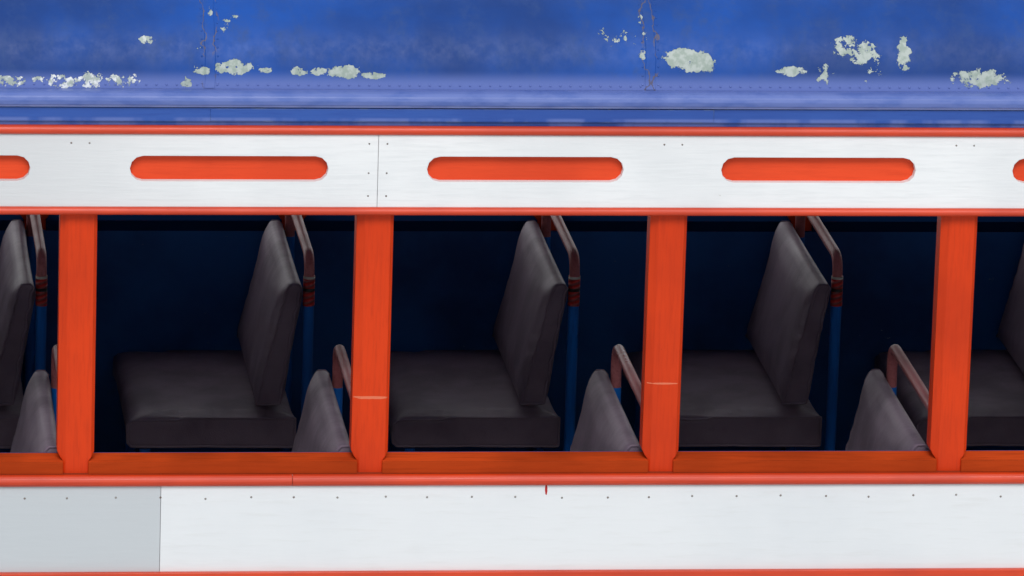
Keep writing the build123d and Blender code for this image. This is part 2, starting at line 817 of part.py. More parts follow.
def inner_lining():
    """Boards inside the posts from the floor to the sill."""
    boards = []
    for side in (LEFT, RIGHT):
        for x0, x1 in runs(side):
            start = max(x0, -FRONT_WALL)
            boards.append(side_block(side, start, x1, LINING_INNER, POST_INNER, FLOOR_TOP, SILL_BOTTOM))
    return boards


def jointed(x0, x1, joint_x):
    """A run of wall cut into lengths of a sheet, with one of the joints at joint_x."""
    first = math.ceil((x0 - joint_x) / SHEET_LENGTH)
    last = math.floor((x1 - joint_x) / SHEET_LENGTH)
    joints = [joint_x + k * SHEET_LENGTH for k in range(first, last + 1)]
    ends = [joint - SHEET_GAP for joint in joints] + [x1]
    return list(zip([x0] + joints, ends))


def upper_panels():
    """White sheets between the stripe and the moulding under the sill."""
    sheets = []
    face = HALF_WIDTH + SHEET_THICK
    for side in (LEFT, RIGHT):
        for run in runs(side):
            for x0, x1 in jointed(*run, SHEET_JOINT_X):
                sheets.append(side_block(side, x0, x1, HALF_WIDTH, face, STRIPE_MIDDLE, SILL_BOTTOM))
    return sheets


def wheel_arch(x):
    """A cutter for the round arch over an axle."""
    over = bow(x, TYRE_RADIUS, ARCH_RADIUS, 0, 180, ARCH_STEPS)
    reach = HALF_WIDTH + SHEET_THICK + 40
    return upright(polygon((x + ARCH_RADIUS, 0), *over, (x - ARCH_RADIUS, 0)), -reach, reach)


def skirt_panels():
    """Sheets below the stripe, with a wheel arch in each sheet that passes an axle."""
    seams = {
        LEFT: [-BODY_END, POSTS_X[2], POSTS_X[5], POSTS_X[8], POSTS_X[11]],
        RIGHT: [POSTS_X[2], POSTS_X[5], POSTS_X[8], POSTS_X[11]],
    }
    sheets = []
    for side in (LEFT, RIGHT):
        spans = list(zip(seams[side][:-1], seams[side][1:]))
        if side == RIGHT:
            spans.append((-BODY_END, POSTS_X[DOOR_BAY_REAR]))
        for x0, x1 in spans:
            sheet = side_block(
                side, x0, x1 - SHEET_GAP, HALF_WIDTH, HALF_WIDTH + SHEET_THICK, SKIRT_BOTTOM, STRIPE_MIDDLE
            )
            for axle in (FRONT_AXLE_X, REAR_AXLE_X):
                if x0 < axle < x1:
                    sheet -= wheel_arch(axle)
            sheets.append(sheet)
    sheets.append(
        block(
            POSTS_X[11],
            POSTS_X[12] - POST_WIDTH / 2 - SHEET_GAP,
            HALF_WIDTH,
            HALF_WIDTH + SHEET_THICK,
            SKIRT_BOTTOM,
            FLOOR_TOP - DOOR_GAP,
        )
    )
    return sheets


def bow(centre_x, centre_y, radius, first, last, steps):
    """Points along an arc between two angles in degrees."""
    turns = [math.radians(first + (last - first) * k / steps) for k in range(steps + 1)]
    return [(centre_x + radius * math.cos(a), centre_y + radius * math.sin(a)) for a in turns]


def half_round(base, reach, low, height):
    """The section of a moulding: a flat back from y = base and a half-round nose."""
    nose = bow(base + reach, low + height / 2, height / 2, -90, 90, MOULDING_STEPS)
    return polygon((base, low), *nose, (base, low + height))


def upper_mouldings():
    """Half-round mouldings under and over the letterboard, along both sides."""
    rows = [  # low edge, height
        (WINDOW_TOP, MIDDLE_MOULDING_HEIGHT),
        (LETTERBOARD_TOP, TOP_MOULDING_HEIGHT),
    ]
    left = []
    for low, height in rows:
        section = half_round(HALF_WIDTH, LETTERBOARD_THICK, low, height)
        left.append(across(section, -BODY_END, BODY_END))
    return left + mirrored(left)


def lower_mouldings():
    """The half-round moulding below the sill, over the sheet."""
    low = SILL_BOTTOM - LOWER_MOULDING_HEIGHT
    section = half_round(HALF_WIDTH + SHEET_THICK, MOULDING_FLAT, low, LOWER_MOULDING_HEIGHT)
    pieces = []
    for side in (LEFT, RIGHT):
        for run in runs(side):
            lengths = [across(section, x0, x1) for x0, x1 in jointed(*run, MOULDING_JOINT_X)]
            pieces += lengths if side == LEFT else mirrored(lengths)
    return pieces


def stripes():
    """The raised board of the side stripe."""
    face = HALF_WIDTH + SHEET_THICK
    boards = []
    for side in (LEFT, RIGHT):
        for x0, x1 in runs(side):
            boards.append(side_block(side, x0, x1, face, face + STRIPE_THICK, STRIPE_LOW, STRIPE_TOP))
    return boards


def recess(x):
    """A stadium shape centred in a bay of the letterboard."""
    middle = LETTERBOARD_LOW + LETTERBOARD_HEIGHT / 2 + RECESS_RISE
    radius = RECESS_HEIGHT / 2
    reach = RECESS_LENGTH / 2 - radius
    right = bow(x + reach, middle, radius, -90, 90, RECESS_STEPS)
    left = bow(x - reach, middle, radius, 90, 270, RECESS_STEPS)
    return polygon(*right, *left)


def letterboards():
    """White boards over the windows, jointed on a post, with a stadium cut through in each bay."""
    boards = []
    back, front = HALF_WIDTH, HALF_WIDTH + LETTERBOARD_THICK
    for first in range(0, BAYS, LETTERBOARD_BAYS):
        x0 = -BODY_END if first == 0 else POSTS_X[first]
        last = first + LETTERBOARD_BAYS
        x1 = BODY_END if last >= BAYS else POSTS_X[last] - SHEET_GAP
        board = block(x0, x1, back, front, LETTERBOARD_LOW, LETTERBOARD_TOP)
        for bay in range(first, min(last, BAYS)):
            board -= upright(recess(POSTS_X[bay] + BAY / 2), back - 1, front + 1)
        boards.append(board)
    return boards + mirrored(boards)


def recess_backings():
    """Painted boards behind the cut-outs, between the posts."""
    half_length = RECESS_LENGTH / 2 + BACKING_LAP
    low = LETTERBOARD_LOW + 10
    high = LETTERBOARD_TOP - 10
    left = []
    for bay in range(BAYS):
        middle = POSTS_X[bay] + BAY / 2
        left.append(
            block(middle - half_length, middle + half_length, HALF_WIDTH - BACKING_THICK, HALF_WIDTH, low, high)
        )
    return left + mirrored(left)


# Roof


def roof_section(inset):
    """Half the roof's outline on the left, mirrored, moved inward by inset."""
    radius = ROOF_CORNER - inset
    turn = math.radians(ROOF_CORNER_ANGLE)
    centre = HALF_WIDTH - ROOF_CORNER
    shoulder = (centre + radius * math.cos(turn), CANT_TOP + radius * math.sin(turn))
    mid_turn = turn / 2
    middle = (centre + radius * math.cos(mid_turn), CANT_TOP + radius * math.sin(mid_turn))
    crown_radius = shoulder[0] / math.cos(turn)
    top = shoulder[1] + crown_radius * (1 - math.sin(turn))
    edge = (HALF_WIDTH - inset, CANT_TOP)
    far_edge, far_middle, far_shoulder = [(-y, z) for y, z in (edge, middle, shoulder)]
    return make_face(
        [
            ThreePointArc(edge, middle, shoulder),
            ThreePointArc(shoulder, (0, top), far_shoulder),
            ThreePointArc(far_shoulder, far_middle, far_edge),
            Line(far_edge, edge),
        ]
    )


def roof_ends(inset):
    """The roof seen from the side: its ends are quarter circles up to the crown."""
    end, low, high = BODY_END - inset, CANT_TOP, roof_crown_height(inset)
    radius = high - low
    drop = radius * (1 - math.sqrt(0.5))
    return make_face(
        [
            Line((-end, low), (end, low)),
            ThreePointArc((end, low), (end - drop, high - drop), (end - radius, high)),
            Line((end - radius, high), (radius - end, high)),
            ThreePointArc((radius - end, high), (drop - end, high - drop), (-end, low)),
        ]
    )


def roof_crown_height(inset):
    turn = math.radians(ROOF_CORNER_ANGLE)
    radius = ROOF_CORNER - inset
    shoulder = HALF_WIDTH - ROOF_CORNER + radius * math.cos(turn)
    crown_radius = shoulder / math.cos(turn)
    return CANT_TOP + radius * math.sin(turn) + crown_radius * (1 - math.sin(turn))


def roof_solid(inset):
    long_body = across(roof_section(inset), -BODY_END - 10, BODY_END + 10)
    return long_body & upright(roof_ends(inset), -HALF_WIDTH - 10, HALF_WIDTH + 10)


def roof_skin():
    """Sheet metal in five pieces: the crown, the two rounded sides and the two rounded ends."""
    shell = roof_solid(0) - roof_solid(ROOF_THICK)
    split_x = BODY_END - 2 * ROOF_CORNER
    split_y = HALF_WIDTH - ROOF_CORNER
    low, high = CANT_TOP - 1, CANT_TOP + 700
    gap = SHEET_GAP / 2
    crown = shell & block(-split_x, split_x, -split_y + gap, split_y - gap, low, high)
    cove = shell & block(-split_x, split_x, split_y + gap, HALF_WIDTH + 1, low, high)
    front = shell & block(split_x + gap, BODY_END + 1, -HALF_WIDTH - 1, HALF_WIDTH + 1, low, high)
    back = mirror(front, Plane.YZ)
    return [crown, cove, mirror(cove, Plane.XZ), front, back]


BOW_RISE = 115
BOW_FLAT = 480


def roof_bows():
    """A cambered timber from one cant rail to the other above every pair of posts."""
    foot, top = CANT_TOP, CANT_TOP + BOW_RISE
    end = HALF_WIDTH - ROOF_THICK - 10
    inner = POST_INNER - 6
    section = polygon(
        (-end, foot),
        (-end, foot + BOW_DEPTH - 6),
        (-BOW_FLAT, top + BOW_DEPTH),
        (BOW_FLAT, top + BOW_DEPTH),
        (end, foot + BOW_DEPTH - 6),
        (end, foot),
        (inner, foot),
        (BOW_FLAT, top),
        (-BOW_FLAT, top),
        (-inner, foot),
    )
    half = BOW_WIDTH / 2
    return [across(section, x - half, x + half) for x in POSTS_X[1:-1]]


def fascia_section(base):
    """The blue edge of the roof: a thin foot, a flat strip and a half-round drip moulding."""
    foot = CANT_TOP - CANT_RAIL_HEIGHT
    strip_low = foot + FASCIA_FOOT
    strip_top = strip_low + FASCIA_STRIP
    radius = DRIP_HEIGHT / 2
    drip = bow(base + DRIP_BACK, strip_top + radius, radius, -90, 90, MOULDING_STEPS)
    return polygon(
        (base, foot),
        (base + FOOT_THICK, foot),
        (base + FOOT_THICK, strip_low),
        (base + STRIP_THICK, strip_low),
        (base + STRIP_THICK, strip_top),
        *drip,
        (base, strip_top + DRIP_HEIGHT),
    )


def roof_fascia():
    reach = DRIP_BACK + DRIP_HEIGHT / 2
    side = across(fascia_section(HALF_WIDTH), -BODY_END - reach, BODY_END + reach)
    end = upright(fascia_section(BODY_END), -HALF_WIDTH, HALF_WIDTH)
    return [side, mirror(side, Plane.XZ), end, mirror(end, Plane.YZ)]


# Front and rear


PILLAR_WIDTH = 90
SCREEN_THICK = 6
REAR_PILLAR_Y = 370
WAIST_RAIL_DROP = 100
FLOOR_RAIL_HEIGHT = 120


def end_frame(end):
    """Rails between the corner posts and the pillars of an end wall."""
    outer, inner = BODY_END, BODY_END - POST_DEPTH
    edge = POST_INNER
    bottom = SCREEN_BOTTOM if end > 0 else SILL_TOP
    pillars = [0] if end > 0 else [REAR_PILLAR_Y, -REAR_PILLAR_Y]
    half = PILLAR_WIDTH / 2
    pieces = [
        block(end * inner, end * outer, -edge, edge, SILL_BOTTOM - WAIST_RAIL_DROP, bottom),
        block(end * inner, end * outer, -edge, edge, WINDOW_TOP, CANT_TOP),
        block(end * inner, end * outer, -edge, edge, FLOOR_BOTTOM, FLOOR_BOTTOM + FLOOR_RAIL_HEIGHT),
    ]
    for y in pillars:
        pieces.append(block(end * inner, end * outer, y - half, y + half, bottom, WINDOW_TOP))
    return pieces


GRILLE_HALF = 360
GRILLE_LOW = 900
GRILLE_HIGH = 1340
GRILLE_RIM = 30
GRILLE_BAR_COUNT = 9
GRILLE_BAR = 16
GRILLE_DEPTH = 14


def front_panels():
    """Sheets around the grille opening and up to the windscreen."""
    back, face = BODY_END, BODY_END + SHEET_THICK
    edge, gap = HALF_WIDTH + SHEET_THICK, SHEET_GAP
    table = [  # y0, y1, z0, z1
        (-edge, edge, GRILLE_HIGH + gap, SILL_BOTTOM),
        (-GRILLE_HALF, GRILLE_HALF, SKIRT_BOTTOM, GRILLE_LOW),
        (GRILLE_HALF + gap, edge, SKIRT_BOTTOM, GRILLE_HIGH),
        (-edge, -GRILLE_HALF - gap, SKIRT_BOTTOM, GRILLE_HIGH),
    ]
    return [block(back, face, y0, y1, z0, z1) for y0, y1, z0, z1 in table]


def rear_panels():
    back, face = -BODY_END, -BODY_END - SHEET_THICK
    edge = HALF_WIDTH + SHEET_THICK
    return [
        block(back, face, -edge, edge, SKIRT_BOTTOM, STRIPE_MIDDLE - SHEET_GAP),
        block(back, face, -edge, edge, STRIPE_MIDDLE, SILL_BOTTOM),
    ]


def end_trim():
    """The stripe, the mouldings and the letterboard carried across both ends."""
    pieces = []
    edge = HALF_WIDTH + SHEET_THICK
    for end in (1, -1):
        face = BODY_END + SHEET_THICK
        pieces.append(block(end * face, end * (face + STRIPE_THICK), -edge, edge, STRIPE_LOW, STRIPE_TOP))
        rows = [  # base, reach, low edge, height, half length
            (face, MOULDING_FLAT, SILL_BOTTOM - LOWER_MOULDING_HEIGHT, LOWER_MOULDING_HEIGHT, edge),
            (BODY_END, LETTERBOARD_THICK, WINDOW_TOP, MIDDLE_MOULDING_HEIGHT, HALF_WIDTH),
            (BODY_END, LETTERBOARD_THICK, LETTERBOARD_TOP, TOP_MOULDING_HEIGHT, HALF_WIDTH),
        ]
        for base, reach, low, height, half in rows:
            piece = upright(half_round(base, reach, low, height), -half, half)
            pieces.append(piece if end > 0 else mirror(piece, Plane.YZ))
    return pieces


def end_letterboards():
    boards = []
    for end in (1, -1):
        boards.append(
            block(
                end * BODY_END,
                end * (BODY_END + LETTERBOARD_THICK),
                -HALF_WIDTH,
                HALF_WIDTH,
                LETTERBOARD_LOW,
                LETTERBOARD_TOP,
            )
        )
    return boards


def windscreen():
    """Two flat panes, one each side of the middle pillar."""
    middle = BODY_END - POST_DEPTH / 2
    left = [
        block(
            middle - SCREEN_THICK / 2,
            middle + SCREEN_THICK / 2,
            PILLAR_WIDTH / 2,
            POST_INNER,
            SCREEN_BOTTOM,
            WINDOW_TOP,
        )
    ]
    return left + mirrored(left)


def grille():
    """A frame with level bars, set over the opening in the front sheets."""
    back = BODY_END + SHEET_THICK
    face = back + GRILLE_DEPTH
    half, low, high = GRILLE_HALF + GRILLE_RIM, GRILLE_LOW - GRILLE_RIM, GRILLE_HIGH + GRILLE_RIM
    frame = block(back, face, -half, half, low, high)
    frame -= block(back - 1, face + 1, -GRILLE_HALF, GRILLE_HALF, GRILLE_LOW, GRILLE_HIGH)
    pitch = (GRILLE_HIGH - GRILLE_LOW) / (GRILLE_BAR_COUNT + 1)
    for index in range(1, GRILLE_BAR_COUNT + 1):
        z = GRILLE_LOW + index * pitch - GRILLE_BAR / 2
        frame += block(back, face, -GRILLE_HALF, GRILLE_HALF, z, z + GRILLE_BAR)
    return [frame]


HEADLAMP_RADIUS = 92
HEADLAMP_Y = 880
HEADLAMP_Z = 1130
HEADLAMP_REACH = 36
SIGNAL_RADIUS = 42
SIGNAL_REACH = 26
SIGNAL_OFFSET = (150, 130)  # of a front signal lamp from its headlamp, outward and up
REAR_LAMP_INSETS = (130, 250)  # from the posts' outer faces
REAR_LAMP_Z = 1000


def lamp(x, y, z, radius, reach, facets):
    """A round lamp on an end wall: a short drum and a flatter cone for the lens."""
    lens = reach * 0.4
    outline = [(0, 0), (0, radius), (reach - lens, radius), (reach, radius * 0.6), (reach, 0)]
    body = turned_along_x(outline, facets)
    return Pos(x, y, z) * (body if x > 0 else mirror(body, Plane.YZ))


def headlamps():
    face = BODY_END + SHEET_THICK
    left = [lamp(face, HEADLAMP_Y, HEADLAMP_Z, HEADLAMP_RADIUS, HEADLAMP_REACH, WHEEL_FACETS)]
    return left + mirrored(left)


def signal_lamps():
    """Amber lamps above the headlamps, and red and amber ones at the rear."""
    face = BODY_END + SHEET_THICK
    out, up = SIGNAL_OFFSET
    table = [(face, HEADLAMP_Y + out, HEADLAMP_Z + up)]  # x, y, z
    table += [(-face, HALF_WIDTH - inset, REAR_LAMP_Z) for inset in REAR_LAMP_INSETS]
    left = [lamp(x, y, z, SIGNAL_RADIUS, SIGNAL_REACH, SMALL_FACETS) for x, y, z in table]
    return left + mirrored(left)


MIRROR_TOP = 2420
MIRROR_HEIGHT = 300
MIRROR_WIDTH = 170
MIRROR_THICK = 22
MIRROR_OFFSET = 55
MIRROR_ARM = 16
MIRROR_ARM_HEIGHT = 14
MIRROR_ARM_INSET = 26


def door_mirrors():
    """Flat mirrors in frames on straight arms from the corner posts."""
    x = BODY_END - 25
    inner = HALF_WIDTH + MIRROR_OFFSET
    half, arm, low = MIRROR_THICK / 2, MIRROR_ARM / 2, MIRROR_TOP - MIRROR_HEIGHT
    head = block(x - half, x + half, inner, inner + MIRROR_WIDTH, low, MIRROR_TOP)
    arms = [
        block(x - arm, x + arm, HALF_WIDTH, inner, z, z + MIRROR_ARM_HEIGHT)
        for z in (MIRROR_TOP - MIRROR_ARM_INSET - MIRROR_ARM_HEIGHT, low + MIRROR_ARM_INSET)
    ]
    left = [head + arms[0] + arms[1]]
    return left + mirrored(left)


# Doors


def door_leaf(side, bay, low):
    """A timber door with a window, its outer face in line with the posts."""
    half_post = POST_WIDTH / 2
    x0 = POSTS_X[bay] + half_post + DOOR_GAP
    x1 = POSTS_X[bay + 1] - half_post - DOOR_GAP
    high = WINDOW_TOP - DOOR_GAP
    leaf = block(x0, x1, HALF_WIDTH - DOOR_THICK, HALF_WIDTH, low, high)
    stile = 80
    window = Pos((x0 + x1) / 2, (SILL_TOP + high - stile) / 2) * Rectangle(
        x1 - x0 - 2 * stile, high - stile - SILL_TOP
    )
    leaf -= upright(window, HALF_WIDTH - DOOR_THICK - 1, HALF_WIDTH + 1)
    axis_x = x1 + DOOR_GAP / 2
    axis_y = HALF_WIDTH + HINGE_RADIUS
    for z in hinge_heights(low):
        barrel = Rot(90, 0, 0) * rod(HINGE_RADIUS, HINGE_HEIGHT, SMALL_FACETS)
        leaf += Pos(axis_x, axis_y, z + HINGE_HEIGHT / 2) * barrel
        leaf += block(x1 - 90, axis_x, HALF_WIDTH, HALF_WIDTH + 6, z, z + HINGE_HEIGHT)
    return leaf if side == LEFT else mirror(leaf, Plane.XZ)


def hinge_heights(low):
    return (low + 220, WINDOW_TOP - 260)


DOORS = [  # node, side, bay, bottom edge
    ("driver_door", LEFT, DOOR_BAY_FRONT, FLOOR_TOP + DOOR_GAP),
    ("front_passenger_door", RIGHT, DOOR_BAY_FRONT, STEP_TOP + DOOR_GAP),
    ("rear_passenger_door", RIGHT, DOOR_BAY_REAR, STEP_TOP + DOOR_GAP),
]


def door_brackets():
    """The fixed halves of the door hinges, on the outer faces of the posts."""
    pieces = []
    for _, side, bay, low in DOORS:
        axis_x = POSTS_X[bay + 1] - POST_WIDTH / 2 - DOOR_GAP / 2
        for z in hinge_heights(low):
            top = z - RUN_GAP
            pieces.append(
                side_block(
                    side,
                    axis_x - 2,
                    axis_x + 40,
                    HALF_WIDTH,
                    HALF_WIDTH + 2 * HINGE_RADIUS,
                    top - 22,
                    top,
                )
            )
    return pieces


# Driver's place


def engine_box():
    """Boards around the engine inside the cab, open below, closed on top by the lid."""
    half, back, top = ENGINE_BOX_HALF, ENGINE_BOX_BACK, ENGINE_BOX_TOP - BOARD
    front = FRONT_WALL
    lid_end = front - ENGINE_LID_INSET
    return [
        block(back, front, half - BOARD, half, FLOOR_TOP, top),
        block(back, front, -half, BOARD - half, FLOOR_TOP, top),
        block(back, back + BOARD, BOARD - half, half - BOARD, FLOOR_TOP, top),
        block(lid_end + DOOR_GAP, front, -half, half, top, top + BOARD),
    ]


def engine_cover():
    """The lid of the engine box with a low grip bar near its free end."""
    half, lid_end = ENGINE_BOX_HALF, FRONT_WALL - ENGINE_LID_INSET
    lid = block(ENGINE_BOX_BACK, lid_end, -half, half, ENGINE_BOX_TOP - BOARD + RUN_GAP, ENGINE_BOX_TOP)
    x, foot, rise = lid_end - GRIP_INSET, ENGINE_BOX_TOP, ENGINE_BOX_TOP + GRIP_RISE
    grip = block(x, x + GRIP_BAR, -GRIP_HALF, GRIP_HALF, rise - GRIP_FOOT, rise)
    for y in (-GRIP_HALF, GRIP_HALF - GRIP_FOOT):
        grip += block(x, x + GRIP_BAR, y, y + GRIP_FOOT, foot, rise)
    return [lid + grip]


DASH_LOW = 1560
DASH_DEPTH = 160
DASH_FOOT_DEPTH = 60
DASH_BROW_DEPTH = 130
DASH_FACE_HEIGHT = 180
DASH_REAR_RISE = 20
DASH_FRONT_RISE = 60
DASH_END_GAP = 10


def dashboard():
    inner = FRONT_WALL
    edge = POST_INNER - DASH_END_GAP
    section = polygon(
        (inner, DASH_LOW),
        (inner, SILL_BOTTOM + DASH_FRONT_RISE),
        (inner - DASH_BROW_DEPTH, SILL_BOTTOM + DASH_REAR_RISE),
        (inner - DASH_DEPTH, DASH_LOW + DASH_FACE_HEIGHT),
        (inner - DASH_FOOT_DEPTH, DASH_LOW),
    )
    return [upright(section, -edge, edge)]


DRIVER_SEAT_X = 3010
DRIVER_SEAT_Y = (ENGINE_BOX_HALF + LINING_INNER) / 2 - 32
DRIVER_SEAT_HALF = 230
WHEEL_CENTRE = (FRONT_WALL - 551, DRIVER_SEAT_Y, 1790)
COLUMN_TILT = 20
STEERING_RADIUS = 235
STEERING_RIM = 12
COLUMN_RADIUS = 24


def column_frame():
    return Pos(*WHEEL_CENTRE) * Rot(0, -COLUMN_TILT, 0)


def steering_column():
    """The fixed tube from the floor up to the steering wheel's hub."""
    drop = (WHEEL_CENTRE[2] - FLOOR_TOP) / math.cos(math.radians(COLUMN_TILT))
    tube = Pos(0, 0, -drop / 2 - 44 - RUN_GAP) * Rot(90, 0, 0) * rod(COLUMN_RADIUS, drop, SMALL_FACETS)
    trimmed = (column_frame() * tube) - block(0, BODY_END, 0, HALF_WIDTH, STEP_TOP, FLOOR_TOP)
    return [trimmed]


def steering_wheel():
    """A thin rim on three spokes, tilted with its column."""
    r, t = STEERING_RADIUS, STEERING_RIM
    rim = turned([(-t, r), (0, r - t), (t, r), (0, r + t)], 32)
    hub = turned([(-44, 0), (-44, 38), (4, 38), (4, 0)], 16)
    rim, hub = Rot(90, 0, 0) * rim, Rot(90, 0, 0) * hub
    wheel = rim + hub
    for index in range(3):
        spoke = block(20, STEERING_RADIUS, -10, 10, -6, 4)
        wheel += Rot(0, 0, 60 + 120 * index) * spoke
    return [column_frame() * wheel]


def driver_seat_frame():
    """A box under the cushion and two uprights that hold the back."""
    x, y, half, t = DRIVER_SEAT_X, DRIVER_SEAT_Y, DRIVER_SEAT_HALF, FRAME_TUBE
    low = CUSHION_TOP - CUSHION_THICK
    back = x - 35 - SEAT_GAP - t
    pieces = [block(x + 40, x + 420, y - half + 30, y + half - 30, FLOOR_TOP, low)]
    for edge in (y - half + 15, y + half - 15 - t):
        pieces.append(block(back, back + t, edge, edge + t, FLOOR_TOP, BACK_TOP))
    return pieces


# Seats


def rounded_cushion(x0, x1, y0, y1):
    """A cushion whose front edges are rounded."""
    top, low, r = CUSHION_TOP, CUSHION_TOP - CUSHION_THICK, CUSHION_ROUND
    section = make_face(
        [
            Line((x0, low), (x1 - r / 2, low)),
            Line((x1 - r / 2, low), (x1, low + r / 2)),
            Line((x1, low + r / 2), (x1, top - r)),
            Line((x1, top - r), (x1 - r * 0.3, top - r * 0.3)),
            Line((x1 - r * 0.3, top - r * 0.3), (x1 - r, top)),
            Line((x1 - r, top), (x0, top)),
            Line((x0, top), (x0, low)),
        ]
    )
    return upright(section, y0, y1)


def leaned_back(x_top, y0, y1):
    """A seat back that leans to the rear, thinner at its top."""
    low = CUSHION_TOP + 20
    foot = x_top + BACK_LEAN
    section = polygon(
        (foot - 15, low),
        (foot + BACK_THICK, low),
        (x_top + BACK_THICK * 0.5 + 2, BACK_TOP - 12),
        (x_top + BACK_THICK * 0.5 - 10, BACK_TOP),
        (x_top - 8, BACK_TOP),
        (x_top - 15, BACK_TOP - 12),
    )
    return upright(section, y0, y1)


def benches():
    """Where each double seat stands: the post behind it and its inner and outer y."""
    inner, outer = BENCH_INNER, BENCH_OUTER
    rows = [(POSTS_X[k], inner, outer) for k in range(1, BAYS - 2)]
    rows += [(POSTS_X[k], -outer, -inner) for k in range(2, BAYS - 2)]
    rows.append((POSTS_X[BAYS - 2], -outer, -inner - (outer - inner) * 0.4))
    return rows


REAR_BENCH_BACK = -FRONT_WALL


def seat_cushions():
    """Double cushions, the rear bench and the driver's cushion."""
    solids = []
    for x, y0, y1 in benches():
        start = x + SEAT_BACK_X - 15
        solids.append(rounded_cushion(start, start + CUSHION_DEPTH + 55, y0, y1))
    edge = LINING_INNER - 10
    start = REAR_BENCH_BACK + 60
    solids.append(rounded_cushion(start, start + CUSHION_DEPTH, -edge, edge))
    solids.append(
        rounded_cushion(
            DRIVER_SEAT_X + 20,
            DRIVER_SEAT_X + 20 + CUSHION_DEPTH,
            DRIVER_SEAT_Y - DRIVER_SEAT_HALF,
            DRIVER_SEAT_Y + DRIVER_SEAT_HALF,
        )
    )
    return solids


def seat_backs():
    solids = [leaned_back(x + SEAT_BACK_X, y0, y1) for x, y0, y1 in benches()]
    edge = LINING_INNER - 10
    solids.append(leaned_back(REAR_BENCH_BACK + SEAT_GAP + 15, -edge, edge))
    solids.append(
        leaned_back(
            DRIVER_SEAT_X - 20, DRIVER_SEAT_Y - DRIVER_SEAT_HALF, DRIVER_SEAT_Y + DRIVER_SEAT_HALF
        )
    )
    return solids


def seat_frames():
    """Tubes: two uprights behind each back that carry the grab rail, and two front legs."""
    t = FRAME_TUBE
    cushion_low = CUSHION_TOP - CUSHION_THICK
    grab_low = BACK_TOP + RAIL_HEIGHT_OVER_BACK - GRAB_RADIUS
    pieces = []
    for x, y0, y1 in benches():
        back = x + SEAT_BACK_X - 15 - SEAT_GAP - t
        front = x + SEAT_BACK_X + CUSHION_DEPTH - 40
        for y in (y0 + 15, y1 - 15 - t):
            pieces.append(block(back, back + t, y, y + t, FLOOR_TOP, grab_low))
            pieces.append(block(front, front + t, y, y + t, FLOOR_TOP, cushion_low))
    start = REAR_BENCH_BACK + 60
    front = start + CUSHION_DEPTH - 80
    pieces.append(block(front, front + 25, -LINING_INNER, LINING_INNER, FLOOR_TOP, cushion_low))
    return pieces


def grab_rails():
    """A round rail over the back of each double seat."""
    z = BACK_TOP + RAIL_HEIGHT_OVER_BACK
    rails = []
    for x, y0, y1 in benches():
        centre = x + SEAT_BACK_X - 15 - SEAT_GAP - FRAME_TUBE / 2
        length = y1 - y0 - 20
        rails.append(Pos(centre, (y0 + y1) / 2, z) * rod(GRAB_RADIUS, length, RAIL_FACETS))
    return rails


# All nodes

save("chassis_frame", chassis_rails() + crossmembers() + spring_hangers() + bumper_brackets())
save("leaf_springs", leaf_springs())
save("front_axle_beam", front_axle_beam())
save("rear_axle_housing", rear_axle_housing())
save("engine_block", engine_block() + engine_mounts())
save("driveline", driveline())
save("radiator", radiator())
save("fuel_tank", fuel_tank() + tank_brackets())
save("exhaust", exhaust() + exhaust_hangers())
save("bumpers", bumper(1) + bumper(-1))
save("tow_eyes", tow_eyes())
save("tie_rod", tie_rod())
for name, side in (("left", LEFT), ("right", RIGHT)):
    save(f"knuckle_{name}", knuckle(side))
    save(f"front_tyre_{name}", [Pos(FRONT_AXLE_X, 0, 0) * tyre(side * FRONT_TRACK)])
    save(f"front_rim_{name}", front_rim(side))
    pair = [tyre(side * y) for y in (REAR_OUTER_TRACK, REAR_INNER_TRACK)]
    save(f"rear_tyres_{name}", [Pos(REAR_AXLE_X, 0, 0) * t for t in pair])
    save(f"rear_rims_{name}", rear_rims(side))
save("floor_bearers", floor_bearers())
save("floor_boards", floor_boards() + step_wells())
save("side_posts", side_posts())
save("end_frames", end_frame(1) + end_frame(-1))
save("roof_timbers", cant_rails() + roof_bows())
save("sill_boards", sill_boards())
save("inner_lining", inner_lining())
save("body_panels", upper_panels() + skirt_panels() + front_panels() + rear_panels())
save("mouldings", lower_mouldings() + upper_mouldings() + stripes() + end_trim())
save("letterboards", letterboards() + end_letterboards())
save("recess_backings", recess_backings())
save("roof_skin", roof_skin())
save("roof_fascia", roof_fascia())
save("windscreen", windscreen())
save("grille", grille())
save("headlamps", headlamps())
save("signal_lamps", signal_lamps())
save("door_mirrors", door_mirrors())
save("door_brackets", door_brackets())
for node, side, bay, low in DOORS:
    save(node, [door_leaf(side, bay, low)])
save("engine_box", engine_box())
save("engine_cover", engine_cover())
save("dashboard", dashboard() + steering_column())
save("steering_wheel", steering_wheel())
save("seat_cushions", seat_cushions())
save("seat_backs", seat_backs())
save("seat_frames", seat_frames() + driver_seat_frame())
save("grab_rails", grab_rails())
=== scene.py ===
import math
import random

import bpy
from mathutils import Matrix, Vector
from mathutils.bvhtree import BVHTree


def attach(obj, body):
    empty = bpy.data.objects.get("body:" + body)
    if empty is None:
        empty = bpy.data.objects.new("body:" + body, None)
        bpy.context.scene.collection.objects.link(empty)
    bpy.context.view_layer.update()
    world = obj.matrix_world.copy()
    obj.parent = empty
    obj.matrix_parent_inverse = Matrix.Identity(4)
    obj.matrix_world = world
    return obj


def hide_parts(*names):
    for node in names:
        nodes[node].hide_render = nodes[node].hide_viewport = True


# The looks of a timber-bodied city bus: brushed and peeled paint, seams, nails, seats, wheels and lamps.
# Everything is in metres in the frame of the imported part: X forward, Y to the left side, Z up.

